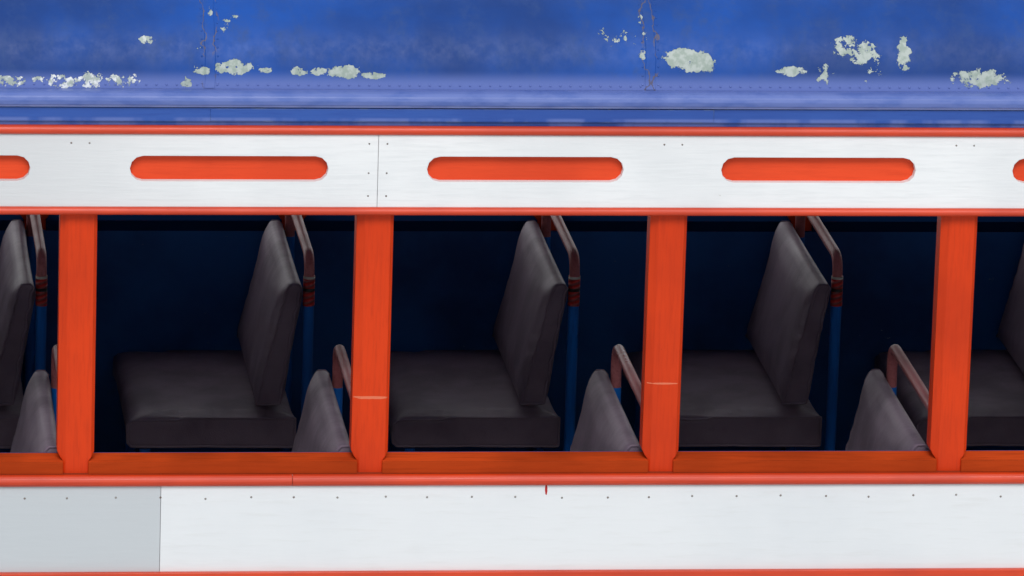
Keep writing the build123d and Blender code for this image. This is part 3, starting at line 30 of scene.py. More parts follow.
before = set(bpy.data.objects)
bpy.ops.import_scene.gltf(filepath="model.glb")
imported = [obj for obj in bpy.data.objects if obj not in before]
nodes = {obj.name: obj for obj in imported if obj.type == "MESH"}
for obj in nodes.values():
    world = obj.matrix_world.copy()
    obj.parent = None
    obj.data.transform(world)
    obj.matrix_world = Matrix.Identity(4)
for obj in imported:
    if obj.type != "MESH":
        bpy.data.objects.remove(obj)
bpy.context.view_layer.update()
scene = bpy.context.scene
random.seed(7)

# Places that the part's source gives, repeated here in metres
BAY = 0.72
POSTS_X = [(k - 6) * BAY for k in range(13)]
BODY_END = 4.365
HALF_WIDTH = 1.230
POST_DEPTH = 0.064
POST_INNER = HALF_WIDTH - POST_DEPTH
REAR_WALL = -BODY_END + POST_DEPTH
PANEL_FACE = HALF_WIDTH + 0.015
BOARD_FACE = HALF_WIDTH + 0.022
FLOOR_TOP = 1.080
STRIPE_LOW, SILL_BOTTOM = 1.539, 1.857
BOARD_LOW, BOARD_TOP = 2.533, 2.713
STRIP_LOW, STRIP_TOP, STRIP_FACE = 2.747, 2.781, HALF_WIDTH + 0.030
ROOF_FOOT = 2.802
ROOF_CORNER, ROOF_CORNER_TURN = 0.240, math.radians(80)
SEAM_FIRST, SEAM_PITCH, SEAM_HALF = 0.778, 1.071, 0.013
FRONT_AXLE_X, REAR_AXLE_X, AXLE_Z = 3.050, -1.800, 0.485
FRONT_TRACK, REAR_OUTER, REAR_INNER = 1.000, 1.060, 0.790
SEAT_BACK_X, BENCH_INNER, BENCH_OUTER = 0.042, 0.420, 1.140
CUSHION_TOP, CUSHION_LOW = 1.520, 1.430
CUSHION_LENGTH, SHORT_CUSHION = 0.485, 0.430
BACK_TOP, RAIL_Z, RAIL_RADIUS = 1.913, 1.966, 0.014
WOUND_TOP, WOUND_LOW = RAIL_Z - 0.052, RAIL_Z - 0.135
WHITE_RING, DARK_RING = WOUND_TOP - 0.008, WOUND_LOW + 0.040
DRIVER_SEAT_X, DRIVER_SEAT_Y, DRIVER_SEAT_HALF = 3.010, 0.740, 0.230
LEFT, RIGHT = 1, -1


def srgb(red, green, blue):
    """A colour given as screen values from 0 to 255, in Blender's linear scale."""
    shares = [value / 255 for value in (red, green, blue)]
    return (*[s / 12.92 if s <= 0.04045 else ((s + 0.055) / 1.055) ** 2.4 for s in shares], 1)


# Colours
ORANGE = srgb(208, 60, 16)
ORANGE_DARK = srgb(174, 46, 13)
ORANGE_WORN = srgb(122, 44, 26)
SCUFF = srgb(226, 150, 116)
SILL_ORANGE = srgb(222, 82, 34)
# The sills' dark tone, also painted shade on their noses and a painted shadow line under them
SILL_DARK_AND_SHADE = srgb(142, 50, 20)
WHITE = srgb(230, 232, 233)
WHITE_GREY = srgb(212, 215, 217)
# Painted shade on the letterboard towards the front
WHITE_SHADE = srgb(198, 200, 202)
WHITE_STAIN = srgb(180, 178, 170)
SHEET_WHITE = srgb(220, 223, 225)
SHEET_GREY = srgb(204, 209, 213)
# Painted shade on the left side's sheet ahead of the seam
SHEET_SHADE = srgb(182, 188, 192)
RECESS_RED = srgb(226, 76, 38)
RECESS_DARK = srgb(198, 62, 30)
BLUE = srgb(22, 79, 166)
BLUE_DEEP = srgb(20, 56, 120)
BLUE_GREY = srgb(52, 76, 126)
# Chalk on the drip moulding and strip, and a painted reflection low on the roof's corner
BLUE_CHALK_AND_REFLECTION = srgb(98, 116, 178)
DRIP_RIM = srgb(140, 158, 212)
BLUE_FASCIA = srgb(50, 86, 162)
BLUE_FASCIA_DARK = srgb(38, 70, 146)
BARE_ZINC = srgb(138, 153, 144)
BARE_RIM = srgb(96, 116, 150)
CRACK_BROWN = srgb(92, 86, 98)
LINING_BLUE = srgb(26, 88, 156)
LINING_DARK = srgb(20, 58, 112)
# Painted shade on the right side's sill tops
LINING_SHADE = srgb(12, 36, 70)
LINING_SPECK = srgb(120, 140, 160)
VINYL = srgb(122, 107, 121)
VINYL_DARK = srgb(90, 77, 91)
TUBE_BLUE = srgb(20, 104, 190)
TUBE_BLUE_DARK = srgb(14, 72, 140)
MAROON = srgb(172, 106, 108)
MAROON_DARK = srgb(120, 62, 64)
TAPE_RED = srgb(170, 40, 38)
RUST = srgb(96, 58, 38)
TIMBER = srgb(150, 146, 138)
TIMBER_DARK = srgb(110, 104, 94)
FLOOR_BROWN = srgb(120, 98, 78)
FLOOR_DARK = srgb(78, 62, 50)
CHASSIS = srgb(58, 59, 62)
CHASSIS_DUST = srgb(104, 96, 86)
IRON = srgb(92, 90, 88)
RUBBER = srgb(46, 46, 48)
RUBBER_DUST = srgb(98, 92, 84)
RIM_SILVER = srgb(172, 174, 176)
RIM_DUST = srgb(120, 110, 98)
BOARD_GREY = srgb(122, 126, 130)
BLACK = srgb(34, 34, 36)
BLANK_PLATE = srgb(222, 222, 214)


# Materials


class Graph:
    """A node tree: short calls that add its nodes and feed their inputs."""

    def __init__(self, tree):
        self.tree = tree

    def feed(self, socket, value):
        if isinstance(value, bpy.types.NodeSocket):
            self.tree.links.new(value, socket)
        else:
            socket.default_value = value

    def node(self, kind, inputs, **settings):
        made = self.tree.nodes.new("ShaderNode" + kind)
        for setting, value in settings.items():
            setattr(made, setting, value)
        for socket, value in inputs.items():
            self.feed(made.inputs[socket], value)
        return made

    def math(self, operation, first, second=0.0):
        return self.node("Math", {0: first, 1: second}, operation=operation).outputs[0]


class Paint(Graph):
    """One material: its shader, and the patterns that its colours and skins are made of."""

    def __init__(self, name, roughness=0.5, **sockets):
        self.data = bpy.data.materials.new(name)
        self.data.use_nodes = True
        super().__init__(self.data.node_tree)
        self.shader = self.tree.nodes["Principled BSDF"]
        self.set("Roughness", roughness)
        self.set("Specular IOR Level", 0.2)
        for socket, value in sockets.items():
            self.set(socket.replace("_", " "), value)

    def set(self, socket, value):
        self.feed(self.shader.inputs[socket], value)

    def place(self, stretch=(1, 1, 1), shift=(0, 0, 0)):
        where = self.node("TexCoord", {}).outputs["Object"]
        return self.node("Mapping", {"Vector": where, "Scale": stretch, "Location": shift}).outputs[0]

    def axes(self):
        return self.node("SeparateXYZ", {"Vector": self.place()}).outputs

    def noise(self, scale, detail=4, roughness=0.55, stretch=(1, 1, 1), shift=(0, 0, 0)):
        where = self.place(stretch, shift)
        inputs = {"Vector": where, "Scale": scale, "Detail": detail, "Roughness": roughness}
        return self.node("TexNoise", inputs).outputs[0]

    def cells(self, scale):
        return self.node("TexVoronoi", {"Vector": self.place(), "Scale": scale}).outputs["Distance"]

    def ramp(self, value, low, high, to_low=0.0, to_high=1.0):
        """The value from low to high mapped with soft ends."""
        inputs = {"Value": value, "From Min": low, "From Max": high, "To Min": to_low, "To Max": to_high}
        return self.node("MapRange", inputs, interpolation_type="SMOOTHSTEP").outputs[0]

    def times(self, first, second):
        return self.math("MULTIPLY", first, second)

    def mix(self, share, first, second):
        return self.node("Mix", {0: share, 6: first, 7: second}, data_type="RGBA").outputs[2]

    def edges(self, radius):
        """A normal with rounded edges, and how far a point is on an edge."""
        rounded = self.node("Bevel", {"Radius": radius}, samples=6).outputs[0]
        flat = self.node("NewGeometry", {}).outputs["True Normal"]
        along = self.node("VectorMath", {0: rounded, 1: flat}, operation="DOT_PRODUCT").outputs["Value"]
        return rounded, self.ramp(along, 0.985, 0.80)

    def bump(self, height, depth, rounded=None):
        """A skin of a height and a depth, over a normal with rounded edges."""
        inputs = {"Height": height, "Distance": depth, "Strength": 1.0}
        if rounded is not None:
            inputs["Normal"] = rounded
        self.set("Normal", self.node("Bump", inputs).outputs[0])

    def patches(self, rows):
        """A mask of ragged spots: rows of x, z, half length, half height, share of specks."""
        x, _, z = self.axes()
        closest = None
        for row_x, row_z, half_x, half_z, specks in rows:
            across = self.math("DIVIDE", self.math("SUBTRACT", x, row_x), half_x)
            upward = self.math("DIVIDE", self.math("SUBTRACT", z, row_z), half_z)
            reach = self.math("ADD", self.times(across, across), self.times(upward, upward))
            close = self.ramp(reach, 3.0, 0.1, 0.0, 1.0 - 0.45 * specks)
            closest = close if closest is None else self.math("MAXIMUM", closest, close)
        ragged = self.noise(50, 7, roughness=0.68)
        spots = self.ramp(self.math("ADD", ragged, self.times(closest, 0.40)), 0.735, 0.75)
        return self.times(spots, self.ramp(closest, 0.03, 0.08))


ALONG = {"x": (1, 14, 14), "y": (14, 1, 14), "z": (14, 14, 1)}


def painted_wood(name, light, dark, worn, along, roughness=0.42, grain=0.0005, wear=0.5, edge=0.003,
                 shine=0.2, tint=None):
    """Brushed gloss paint over timber: brush streaks, darker cloudy areas and worn edges."""
    paint = Paint(name, Specular_IOR_Level=shine)
    streaks = paint.noise(9, 6, roughness=0.62, stretch=ALONG[along])
    clouds = paint.noise(2.3)
    colour = paint.mix(paint.ramp(clouds, 0.36, 0.7, 0, 0.7), light, dark)
    colour = paint.mix(paint.ramp(streaks, 0.42, 0.75, 0, 0.55), colour, dark)
    if tint:
        colour = tint(paint, colour)
    rounded, on_edge = paint.edges(edge)
    rubbed = paint.times(on_edge, paint.ramp(paint.noise(28, 5), 0.5, 0.68))
    pits = paint.ramp(paint.noise(46, 6, roughness=0.7), 0.70, 0.76)
    worn_share = paint.times(paint.math("MAXIMUM", rubbed, pits), wear)
    paint.set("Base Color", paint.mix(worn_share, colour, worn))
    paint.set("Roughness", paint.ramp(clouds, 0.3, 0.7, roughness - 0.08, roughness + 0.12))
    height = paint.math("SUBTRACT", streaks, paint.times(worn_share, 0.5))
    paint.bump(height, grain, rounded)
    return paint.data


def scuffed(paint, colour):
    """Thin pale rub marks across two of the posts."""
    marks = [(1.440, 2.047, 0.036, 0.003, 0), (0.722, 2.082, 0.036, 0.002, 0)]
    return paint.mix(paint.times(paint.patches(marks), 0.45), colour, SCUFF)


def blue_inside(paint, colour):
    """The sill boards' nose is darkened as painted shade, and the boards take the lining's colour inside and
    on the right side's tops, a deeper blue there as painted shade.
    """
    y = paint.axes()[1]
    inner = paint.times(paint.ramp(y, POST_INNER - 0.008, POST_INNER - 0.010),
                        paint.ramp(y, -HALF_WIDTH + 0.006, -HALF_WIDTH + 0.008))
    # Painted shade: the right side's tops are a deeper blue
    right_shade = paint.ramp(y, 0.5, -0.5)
    # Painted shade: the front face of the nose is darker
    nose_shade = paint.ramp(paint.math("ABSOLUTE", y), HALF_WIDTH + 0.0075, HALF_WIDTH + 0.009, 0, 0.7)
    colour = paint.mix(nose_shade, colour, SILL_DARK_AND_SHADE)
    return paint.mix(inner, colour, paint.mix(right_shade, LINING_BLUE, LINING_SHADE))


def dark_low_ahead(paint, colour):
    """The rails behind the grille are dark, the rest of the end frames orange."""
    x, y, z = paint.axes()
    ahead = paint.times(paint.ramp(x, 4.0, 4.01), paint.ramp(z, 1.45, 1.44))
    middle = paint.ramp(paint.math("ABSOLUTE", y), 0.60, 0.59)
    return paint.mix(paint.times(ahead, middle), colour, BLACK)


def chalky_drip(paint, colour):
    """The rounded drip moulding is chalkier than the flat strip under it."""
    z = paint.axes()[2]
    chalk = paint.ramp(paint.noise(14, 5, stretch=(1, 1, 3)), 0.3, 0.6, 0.55, 1)
    drip = paint.times(paint.ramp(z, STRIP_TOP, STRIP_TOP + 0.003), chalk)
    colour = paint.mix(drip, colour, BLUE_CHALK_AND_REFLECTION)
    rim = paint.times(paint.ramp(z, STRIP_TOP + 0.002, STRIP_TOP + 0.003),
                      paint.ramp(z, STRIP_TOP + 0.008, STRIP_TOP + 0.007))
    foot = paint.times(paint.ramp(z, STRIP_LOW + 0.013, STRIP_LOW + 0.006),
                       paint.ramp(paint.noise(10, stretch=(1, 1, 0)), 0.42, 0.60, 0, 0.7))
    colour = paint.mix(foot, colour, BLUE_CHALK_AND_REFLECTION)
    return paint.mix(paint.times(rim, chalk), colour, DRIP_RIM)


def shaded_ahead(paint, colour):
    """Painted shade: the letterboard is made a little greyer towards the front of the bays that the camera
    sees.
    """
    x = paint.axes()[0]
    return paint.mix(paint.ramp(x, 1.7, 2.4, 0, 0.8), colour, WHITE_SHADE)


# Peeled places on the roof above the photographed bays: x, z, half length, half height, share of specks
PEELED = [
    (2.323, 2.838, 0.034, 0.013, 0.5),
    (2.263, 2.841, 0.020, 0.009, 0.6),
    (2.205, 2.836, 0.030, 0.016, 0.7),
    (2.140, 2.842, 0.034, 0.018, 0.7),
    (2.060, 2.839, 0.046, 0.015, 0.8),
    (1.906, 2.836, 0.013, 0.012, 0.4),
    (1.864, 2.863, 0.016, 0.008, 0.4),
    (1.789, 2.872, 0.040, 0.015, 0.2),
    (1.715, 2.866, 0.018, 0.006, 0.4),
    (1.634, 2.863, 0.017, 0.010, 0.3),
    (1.586, 2.863, 0.019, 0.008, 0.4),
    (1.522, 2.862, 0.036, 0.014, 0.2),
    (1.456, 2.854, 0.028, 0.007, 0.3),
    (2.002, 2.932, 0.018, 0.008, 0.5),
    (0.862, 2.940, 0.044, 0.018, 1.1),
    (0.797, 2.904, 0.011, 0.010, 0.4),
    (0.702, 2.896, 0.040, 0.021, 0.15),
    (0.660, 2.886, 0.036, 0.020, 0.15),
    (0.432, 2.868, 0.032, 0.010, 0.3),
    (0.352, 2.866, 0.028, 0.026, 1.0),
    (0.300, 2.928, 0.036, 0.022, 0.7),
    (0.256, 2.910, 0.032, 0.024, 0.5),
    (0.228, 2.857, 0.020, 0.026, 1.1),
    (0.152, 2.908, 0.018, 0.034, 0.5),
    (-0.030, 2.853, 0.058, 0.018, 0.3),
    (1.846, 2.985, 0.006, 0.016, 1.0),
    (1.812, 2.966, 0.012, 0.014, 1.1),
    (1.790, 2.985, 0.012, 0.008, 1.1),
    (1.872, 2.908, 0.010, 0.014, 1.0),
    (1.880, 2.866, 0.012, 0.010, 0.9),
    (0.800, 2.985, 0.006, 0.018, 1.1),
    (0.792, 2.938, 0.007, 0.016, 1.1),
]


def roof_paint():
    """Blue gloss on sheet metal, chalked in streaks, with zinc showing where it has peeled, and a paler band
    low on the corner as a painted reflection.
    """
    paint = Paint("peeled_blue_paint")
    clouds = paint.noise(1.6, 5, shift=(3, 0, 0))
    runs = paint.noise(9, 7, roughness=0.7, stretch=(1.6, 1, 1))
    fine = paint.noise(30, 6, roughness=0.7)
    x, y, z = paint.axes()
    colour = paint.mix(paint.ramp(clouds, 0.34, 0.66), BLUE, BLUE_DEEP)
    chalk = paint.times(paint.ramp(runs, 0.45, 0.7), paint.ramp(fine, 0.35, 0.65, 0.2, 0.8))
    colour = paint.mix(paint.times(chalk, 0.8), colour, BLUE_GREY)
    # Painted reflection: a paler band low on the roof's corner, above the drip moulding
    low = paint.math("ADD", z, paint.times(clouds, -0.012))
    colour = paint.mix(paint.ramp(low, 2.862, 2.822), colour, BLUE_CHALK_AND_REFLECTION)
    from_seam = paint.math("PINGPONG", paint.math("SUBTRACT", x, SEAM_FIRST), SEAM_PITCH / 2)
    wander = paint.ramp(paint.noise(22, stretch=(1, 0, 1)), 0.3, 0.7, -0.012, 0.012)
    from_edge = paint.math("ADD", paint.math("SUBTRACT", from_seam, SEAM_HALF), wander)
    crack = paint.ramp(paint.math("ABSOLUTE", from_edge), 0.0026, 0.0012)
    broken = paint.ramp(paint.noise(11, 3, shift=(0, 0, 4)), 0.42, 0.52)
    crack = paint.times(crack, broken)
    colour = paint.mix(paint.times(crack, 0.85), colour, CRACK_BROWN)
    known = paint.patches(PEELED)
    beyond = paint.math("MAXIMUM", paint.ramp(x, 2.36, 2.42), paint.ramp(x, -0.12, -0.18))
    beyond = paint.math("MAXIMUM", beyond, paint.ramp(y, 0.05, -0.05))
    band = paint.times(paint.ramp(z, 2.80, 2.83), paint.ramp(z, 3.04, 2.90))
    spots = paint.ramp(paint.noise(5.5, 8, roughness=0.72, stretch=(1, 1, 2.2)), 0.64, 0.66)
    elsewhere = paint.times(spots, paint.times(beyond, band))
    bare = paint.math("MAXIMUM", known, elsewhere)
    colour = paint.mix(paint.ramp(bare, 0.02, 0.5, 0, 0.6), colour, BARE_RIM)
    mottled = paint.ramp(paint.noise(60, 5), 0.4, 0.62, 0.2, 1)
    pale = paint.times(mottled, paint.ramp(x, 1.90, 2.06, 0.3, 0.95))
    zinc = paint.mix(pale, BARE_ZINC, WHITE)
    paint.set("Base Color", paint.mix(paint.ramp(bare, 0.45, 0.6), colour, zinc))
    paint.set("Roughness", paint.ramp(fine, 0.3, 0.7, 0.42, 0.6))
    dents = paint.noise(2.2, 2)
    height = paint.math("ADD", paint.times(dents, 6.0), paint.times(fine, 0.25))
    height = paint.math("SUBTRACT", height, paint.times(bare, 0.5))
    paint.bump(height, 0.001)
    return paint.data


def panel_paint():
    """White gloss on sheet metal: faint brush marks, grey clouds, splash dirt low down, painted shade on the
    left side's sheet ahead of the seam and a painted shadow line under the sill.
    """
    paint = Paint("white_sheet_paint")
    clouds = paint.noise(1.3, 5)
    brush = paint.noise(8, 6, stretch=(1, 1, 9))
    x, y, z = paint.axes()
    colour = paint.mix(paint.ramp(clouds, 0.35, 0.7, 0, 0.8), SHEET_WHITE, SHEET_GREY)
    colour = paint.mix(paint.ramp(brush, 0.5, 0.8, 0, 0.15), colour, WHITE_STAIN)
    # Painted shade: the left side's sheet ahead of the seam is darker
    shaded_sheet = paint.times(paint.ramp(x, 1.950, 1.953, 0, 0.85), paint.ramp(y, 1.20, 1.21))
    colour = paint.mix(shaded_sheet, colour, SHEET_SHADE)
    rounded, on_edge = paint.edges(0.002)
    rusty = paint.times(on_edge, paint.ramp(paint.noise(24), 0.45, 0.7, 0, 0.5))
    colour = paint.mix(rusty, colour, RUST)
    drips = paint.patches([(1.003, 1.816, 0.0025, 0.013, 0.0)])
    colour = paint.mix(drips, colour, TAPE_RED)
    spread = paint.ramp(paint.noise(5, 6), 0.3, 0.75)
    splash = paint.times(paint.ramp(z, 1.35, 0.80), spread)
    colour = paint.mix(paint.times(splash, 0.55), colour, RIM_DUST)
    valance = paint.ramp(z, 0.934, 0.930)
    blue = paint.mix(paint.ramp(clouds, 0.35, 0.65), BLUE, BLUE_DEEP)
    blue = paint.mix(paint.times(splash, 0.5), blue, CHASSIS_DUST)
    # Painted shadow line: the top edge of the panel just under the sill is dark and rough
    joint_shadow = paint.ramp(z, SILL_BOTTOM - 0.0012, SILL_BOTTOM - 0.0004)
    colour = paint.mix(joint_shadow, colour, SILL_DARK_AND_SHADE)
    paint.set("Base Color", paint.mix(valance, colour, blue))
    paint.set("Roughness", paint.math("MAXIMUM", paint.ramp(clouds, 0.3, 0.7, 0.30, 0.48), joint_shadow))
    height = paint.math("ADD", paint.times(paint.noise(1.8, 2), 5.0), brush)
    paint.bump(height, 0.0006, rounded)
    return paint.data


def dusty(name, base, dust, roughness=0.5, metallic=0.0, depth=0.0005, scale=9, share=0.6):
    """A plain coat with dust in cloudy patches and a fine uneven skin."""
    paint = Paint(name, Metallic=metallic)
    clouds = paint.noise(scale, 6, roughness=0.6)
    fine = paint.noise(scale * 16)
    paint.set("Base Color", paint.mix(paint.ramp(clouds, 0.42, 0.72, 0, share), base, dust))
    paint.set("Roughness", paint.ramp(clouds, 0.35, 0.7, roughness, min(roughness + 0.25, 1)))
    rounded, _ = paint.edges(0.003)
    paint.bump(paint.math("ADD", fine, clouds), depth, rounded)
    return paint.data


def vinyl_cover():
    """Grey-mauve coated cloth: a fine pebbled skin, soft creases and darker rubbed places."""
    paint = Paint("mauve_vinyl", Coat_Weight=0.08, Coat_Roughness=0.35)
    clouds = paint.noise(5)
    pebbles = paint.cells(420)
    creases = paint.noise(17, 5, roughness=0.6, stretch=(1, 2.5, 1))
    colour = paint.mix(paint.ramp(clouds, 0.35, 0.7, 0, 0.8), VINYL, VINYL_DARK)
    paint.set("Base Color", paint.mix(paint.ramp(creases, 0.6, 0.75, 0, 0.4), colour, VINYL_DARK))
    paint.set("Roughness", paint.ramp(clouds, 0.3, 0.7, 0.42, 0.6))
    height = paint.math("ADD", paint.times(pebbles, 0.5), paint.times(creases, 2.2))
    paint.bump(height, 0.0008)
    return paint.data


def lining_paint():
    """Dark blue paint inside the wall, rubbed through in a few pale specks."""
    paint = Paint("inner_wall_blue")
    clouds = paint.noise(2.5, 5)
    specks = paint.ramp(paint.noise(26, 7, roughness=0.72, stretch=(1, 1, 1.6)), 0.66, 0.69)
    colour = paint.mix(paint.ramp(clouds, 0.35, 0.7), LINING_BLUE, LINING_DARK)
    paint.set("Base Color", paint.mix(specks, colour, LINING_SPECK))
    paint.set("Roughness", paint.ramp(clouds, 0.3, 0.7, 0.4, 0.6))
    paint.bump(paint.math("SUBTRACT", clouds, specks), 0.0008)
    return paint.data


def clear_glass():
    paint = Paint("window_glass", 0.03, Transmission_Weight=1.0, IOR=1.45)
    smear = paint.noise(4, 5, stretch=(1, 1, 2))
    smeared = paint.ramp(smear, 0.4, 0.7)
    paint.set("Base Color", paint.mix(smeared, srgb(244, 250, 249), srgb(228, 238, 236)))
    paint.set("Roughness", paint.ramp(smear, 0.4, 0.75, 0.02, 0.09))
    return paint.data


def ribbed_glass():
    """Lamp glass with upright ribs."""
    paint = Paint("lamp_glass", 0.08, Transmission_Weight=0.7, IOR=1.45)
    ribs = paint.math("SINE", paint.times(paint.axes()[1], 700.0))
    paint.set("Base Color", paint.mix(paint.ramp(ribs, -1, 1), srgb(240, 240, 236), srgb(214, 218, 218)))
    paint.bump(ribs, 0.0012)
    return paint.data


def lens_plastic():
    """Amber lenses at the front and red ones at the rear, with moulded rings."""
    paint = Paint("signal_lens", 0.15, Coat_Weight=0.5, Coat_Roughness=0.05)
    x, _, z = paint.axes()
    mottled = paint.ramp(paint.noise(60), 0.3, 0.7, 0, 0.4)
    amber = paint.mix(mottled, srgb(232, 128, 24), srgb(190, 90, 12))
    red = paint.mix(mottled, srgb(196, 30, 24), srgb(140, 16, 16))
    paint.set("Base Color", paint.mix(paint.ramp(x, 0.1, -0.1), amber, red))
    paint.bump(paint.math("SINE", paint.times(z, 900.0)), 0.0008)
    return paint.data


def bright_metal(name, colour, roughness=0.2):
    """Plated or worn metal with faint scratches."""
    paint = Paint(name, Metallic=1.0)
    scratches = paint.noise(30, 6, roughness=0.7, stretch=(1, 9, 1))
    darker = tuple(c * 0.7 for c in colour[:3]) + (1,)
    paint.set("Base Color", paint.mix(paint.ramp(scratches, 0.45, 0.75, 0, 0.6), colour, darker))
    paint.set("Roughness", paint.ramp(scratches, 0.35, 0.7, roughness, roughness + 0.2))
    paint.bump(scratches, 0.0002)
    return paint.data


def tape_wrap():
    """Red tape wound in slanting turns around a rail, with one white and one dark turn."""
    paint = Paint("red_tape", 0.4)
    x, _, z = paint.axes()
    slanted = paint.math("ADD", z, paint.times(x, 0.3))
    turns = paint.math("SINE", paint.times(slanted, 420.0))
    colour = paint.mix(paint.ramp(turns, -0.6, 0.9), TAPE_RED, MAROON_DARK)
    for low, high, ring in ((WHITE_RING, WOUND_TOP, WHITE_STAIN), (DARK_RING, DARK_RING + 0.010, BLACK)):
        above = paint.ramp(z, low, low + 0.001)
        below = paint.ramp(z, high, high - 0.001)
        colour = paint.mix(paint.times(above, below), colour, ring)
    paint.set("Base Color", colour)
    paint.bump(turns, 0.001)
    return paint.data


POST_PAINT = painted_wood("orange_post_paint", ORANGE, ORANGE_DARK, ORANGE_WORN, "z", tint=scuffed)
MOULDING_PAINT = painted_wood("orange_moulding_paint", ORANGE, ORANGE_DARK, ORANGE_WORN, "x", edge=0.005,
                              shine=0.6)
CROSS_PAINT = painted_wood("orange_cross_paint", ORANGE, ORANGE_DARK, ORANGE_WORN, "y", tint=dark_low_ahead)
SILL_PAINT = painted_wood("sill_paint", SILL_ORANGE, SILL_DARK_AND_SHADE, ORANGE_WORN, "x", wear=0.8, shine=0.0,
                          tint=blue_inside)
PLANK_PAINT = painted_wood("white_plank_paint", WHITE, WHITE_GREY, WHITE_STAIN, "x", 0.45, 0.0008, 0.6,
                           tint=shaded_ahead)
RECESS_PAINT = painted_wood("recess_paint", RECESS_RED, RECESS_DARK, ORANGE_WORN, "x")
FASCIA_PAINT = painted_wood("fascia_paint", BLUE_FASCIA, BLUE_FASCIA_DARK, BARE_ZINC, "x", 0.35, 0.0004, 0.4,
                            0.006, 0.3, chalky_drip)
ROOF_PAINT = roof_paint()
PANEL_PAINT = panel_paint()
LINING_PAINT = lining_paint()
VINYL_COVER = vinyl_cover()
ROOF_WOOD = painted_wood("roof_timber", TIMBER, TIMBER_DARK, FLOOR_DARK, "y", 0.7, 0.001)
FLOOR_WOOD = painted_wood("floor_timber", FLOOR_BROWN, FLOOR_DARK, TIMBER_DARK, "x", 0.75, 0.0012, 0.8)
DOOR_PAINT = painted_wood("door_paint", WHITE, WHITE_GREY, WHITE_STAIN, "z", 0.42, 0.0005, 0.6)
BOX_PAINT = painted_wood("grey_board_paint", BOARD_GREY, srgb(92, 96, 100), BLACK, "x", 0.5)
TUBE_PAINT = painted_wood("blue_tube_paint", TUBE_BLUE, TUBE_BLUE_DARK, IRON, "z", 0.35, 0.0002)
RAIL_PAINT = painted_wood("maroon_rail_paint", MAROON, MAROON_DARK, IRON, "y", 0.35, 0.0002, shine=0.1)
CHASSIS_PAINT = dusty("chassis_paint", CHASSIS, CHASSIS_DUST, 0.5)
CAST_IRON = dusty("cast_iron", IRON, RUST, 0.6, 0.5, 0.001, 14)
SPRING_STEEL = dusty("spring_steel", srgb(74, 70, 68), RUST, 0.6, 0.6, 0.0005, 12)
RUSTY_PIPE = dusty("rusty_pipe", srgb(110, 88, 74), RUST, 0.65, 0.6, 0.0008, 10)
TYRE_RUBBER = dusty("tyre_rubber", RUBBER, RUBBER_DUST, 0.75, 0.0, 0.0006, 8, 0.5)
RIM_PAINT = dusty("rim_paint", RIM_SILVER, RIM_DUST, 0.4, 0.2, 0.0003, 10, 0.8)
# Also paints the wheels' hand holes black as painted shade
BLACK_PLASTIC_AND_HOLE_SHADE = dusty("black_plastic", BLACK, srgb(70, 70, 70), 0.35, 0.0, 0.0002, 20, 0.3)
PLATE_PAINT = dusty("blank_plate_paint", BLANK_PLATE, WHITE_STAIN, 0.4, 0.0, 0.0003, 12, 0.6)
NAIL_METAL = dusty("nail_heads", srgb(150, 148, 144), RUST, 0.6, 0.2, 0.0003, 40, 0.7)
WORN_STEEL = bright_metal("worn_steel", srgb(168, 168, 168), 0.35)
CHROME = bright_metal("chrome", srgb(226, 228, 230), 0.08)
MIRROR_FACE = bright_metal("mirror_face", srgb(236, 240, 242), 0.02)
GLASS = clear_glass()
LAMP_GLASS = ribbed_glass()
LENS = lens_plastic()
TAPE = tape_wrap()

# Each material with the nodes of the part that wear it
NODE_PAINTS = [
    (POST_PAINT, ["side_posts"]),
    (CROSS_PAINT, ["end_frames"]),
    (MOULDING_PAINT, ["mouldings"]),
    (SILL_PAINT, ["sill_boards"]),
    (PLANK_PAINT, ["letterboards"]),
    (RECESS_PAINT, ["recess_backings"]),
    (PANEL_PAINT, ["body_panels"]),
    (ROOF_PAINT, ["roof_skin"]),
    (FASCIA_PAINT, ["roof_fascia"]),
    (LINING_PAINT, ["inner_lining"]),
    (ROOF_WOOD, ["roof_timbers"]),
    (FLOOR_WOOD, ["floor_bearers", "floor_boards"]),
    (DOOR_PAINT, ["driver_door", "front_passenger_door", "rear_passenger_door"]),
    (BOX_PAINT, ["engine_box", "engine_cover", "dashboard"]),
    (BLACK_PLASTIC_AND_HOLE_SHADE, ["steering_wheel", "door_mirrors"]),
    (WORN_STEEL, ["door_brackets", "tow_eyes"]),
    (GLASS, ["windscreen"]),
    (LAMP_GLASS, ["headlamps"]),
    (LENS, ["signal_lamps"]),
    (CHASSIS_PAINT, ["chassis_frame", "radiator", "fuel_tank", "bumpers", "grille"]),
    (SPRING_STEEL, ["leaf_springs"]),
    (CAST_IRON, ["front_axle_beam", "rear_axle_housing", "engine_block", "driveline"]),
    (CAST_IRON, ["tie_rod", "knuckle_left", "knuckle_right"]),
    (RUSTY_PIPE, ["exhaust"]),
    (TYRE_RUBBER, ["front_tyre_left", "front_tyre_right", "rear_tyres_left", "rear_tyres_right"]),
    (RIM_PAINT, ["front_rim_left", "front_rim_right", "rear_rims_left", "rear_rims_right"]),
    (VINYL_COVER, ["seat_cushions", "seat_backs"]),
    (TUBE_PAINT, ["seat_frames"]),
    (RAIL_PAINT, ["grab_rails"]),
]
for material, node_names in NODE_PAINTS:
    for node_name in node_names:
        for material_slot in nodes[node_name].material_slots:
            material_slot.material = material


# Shapes


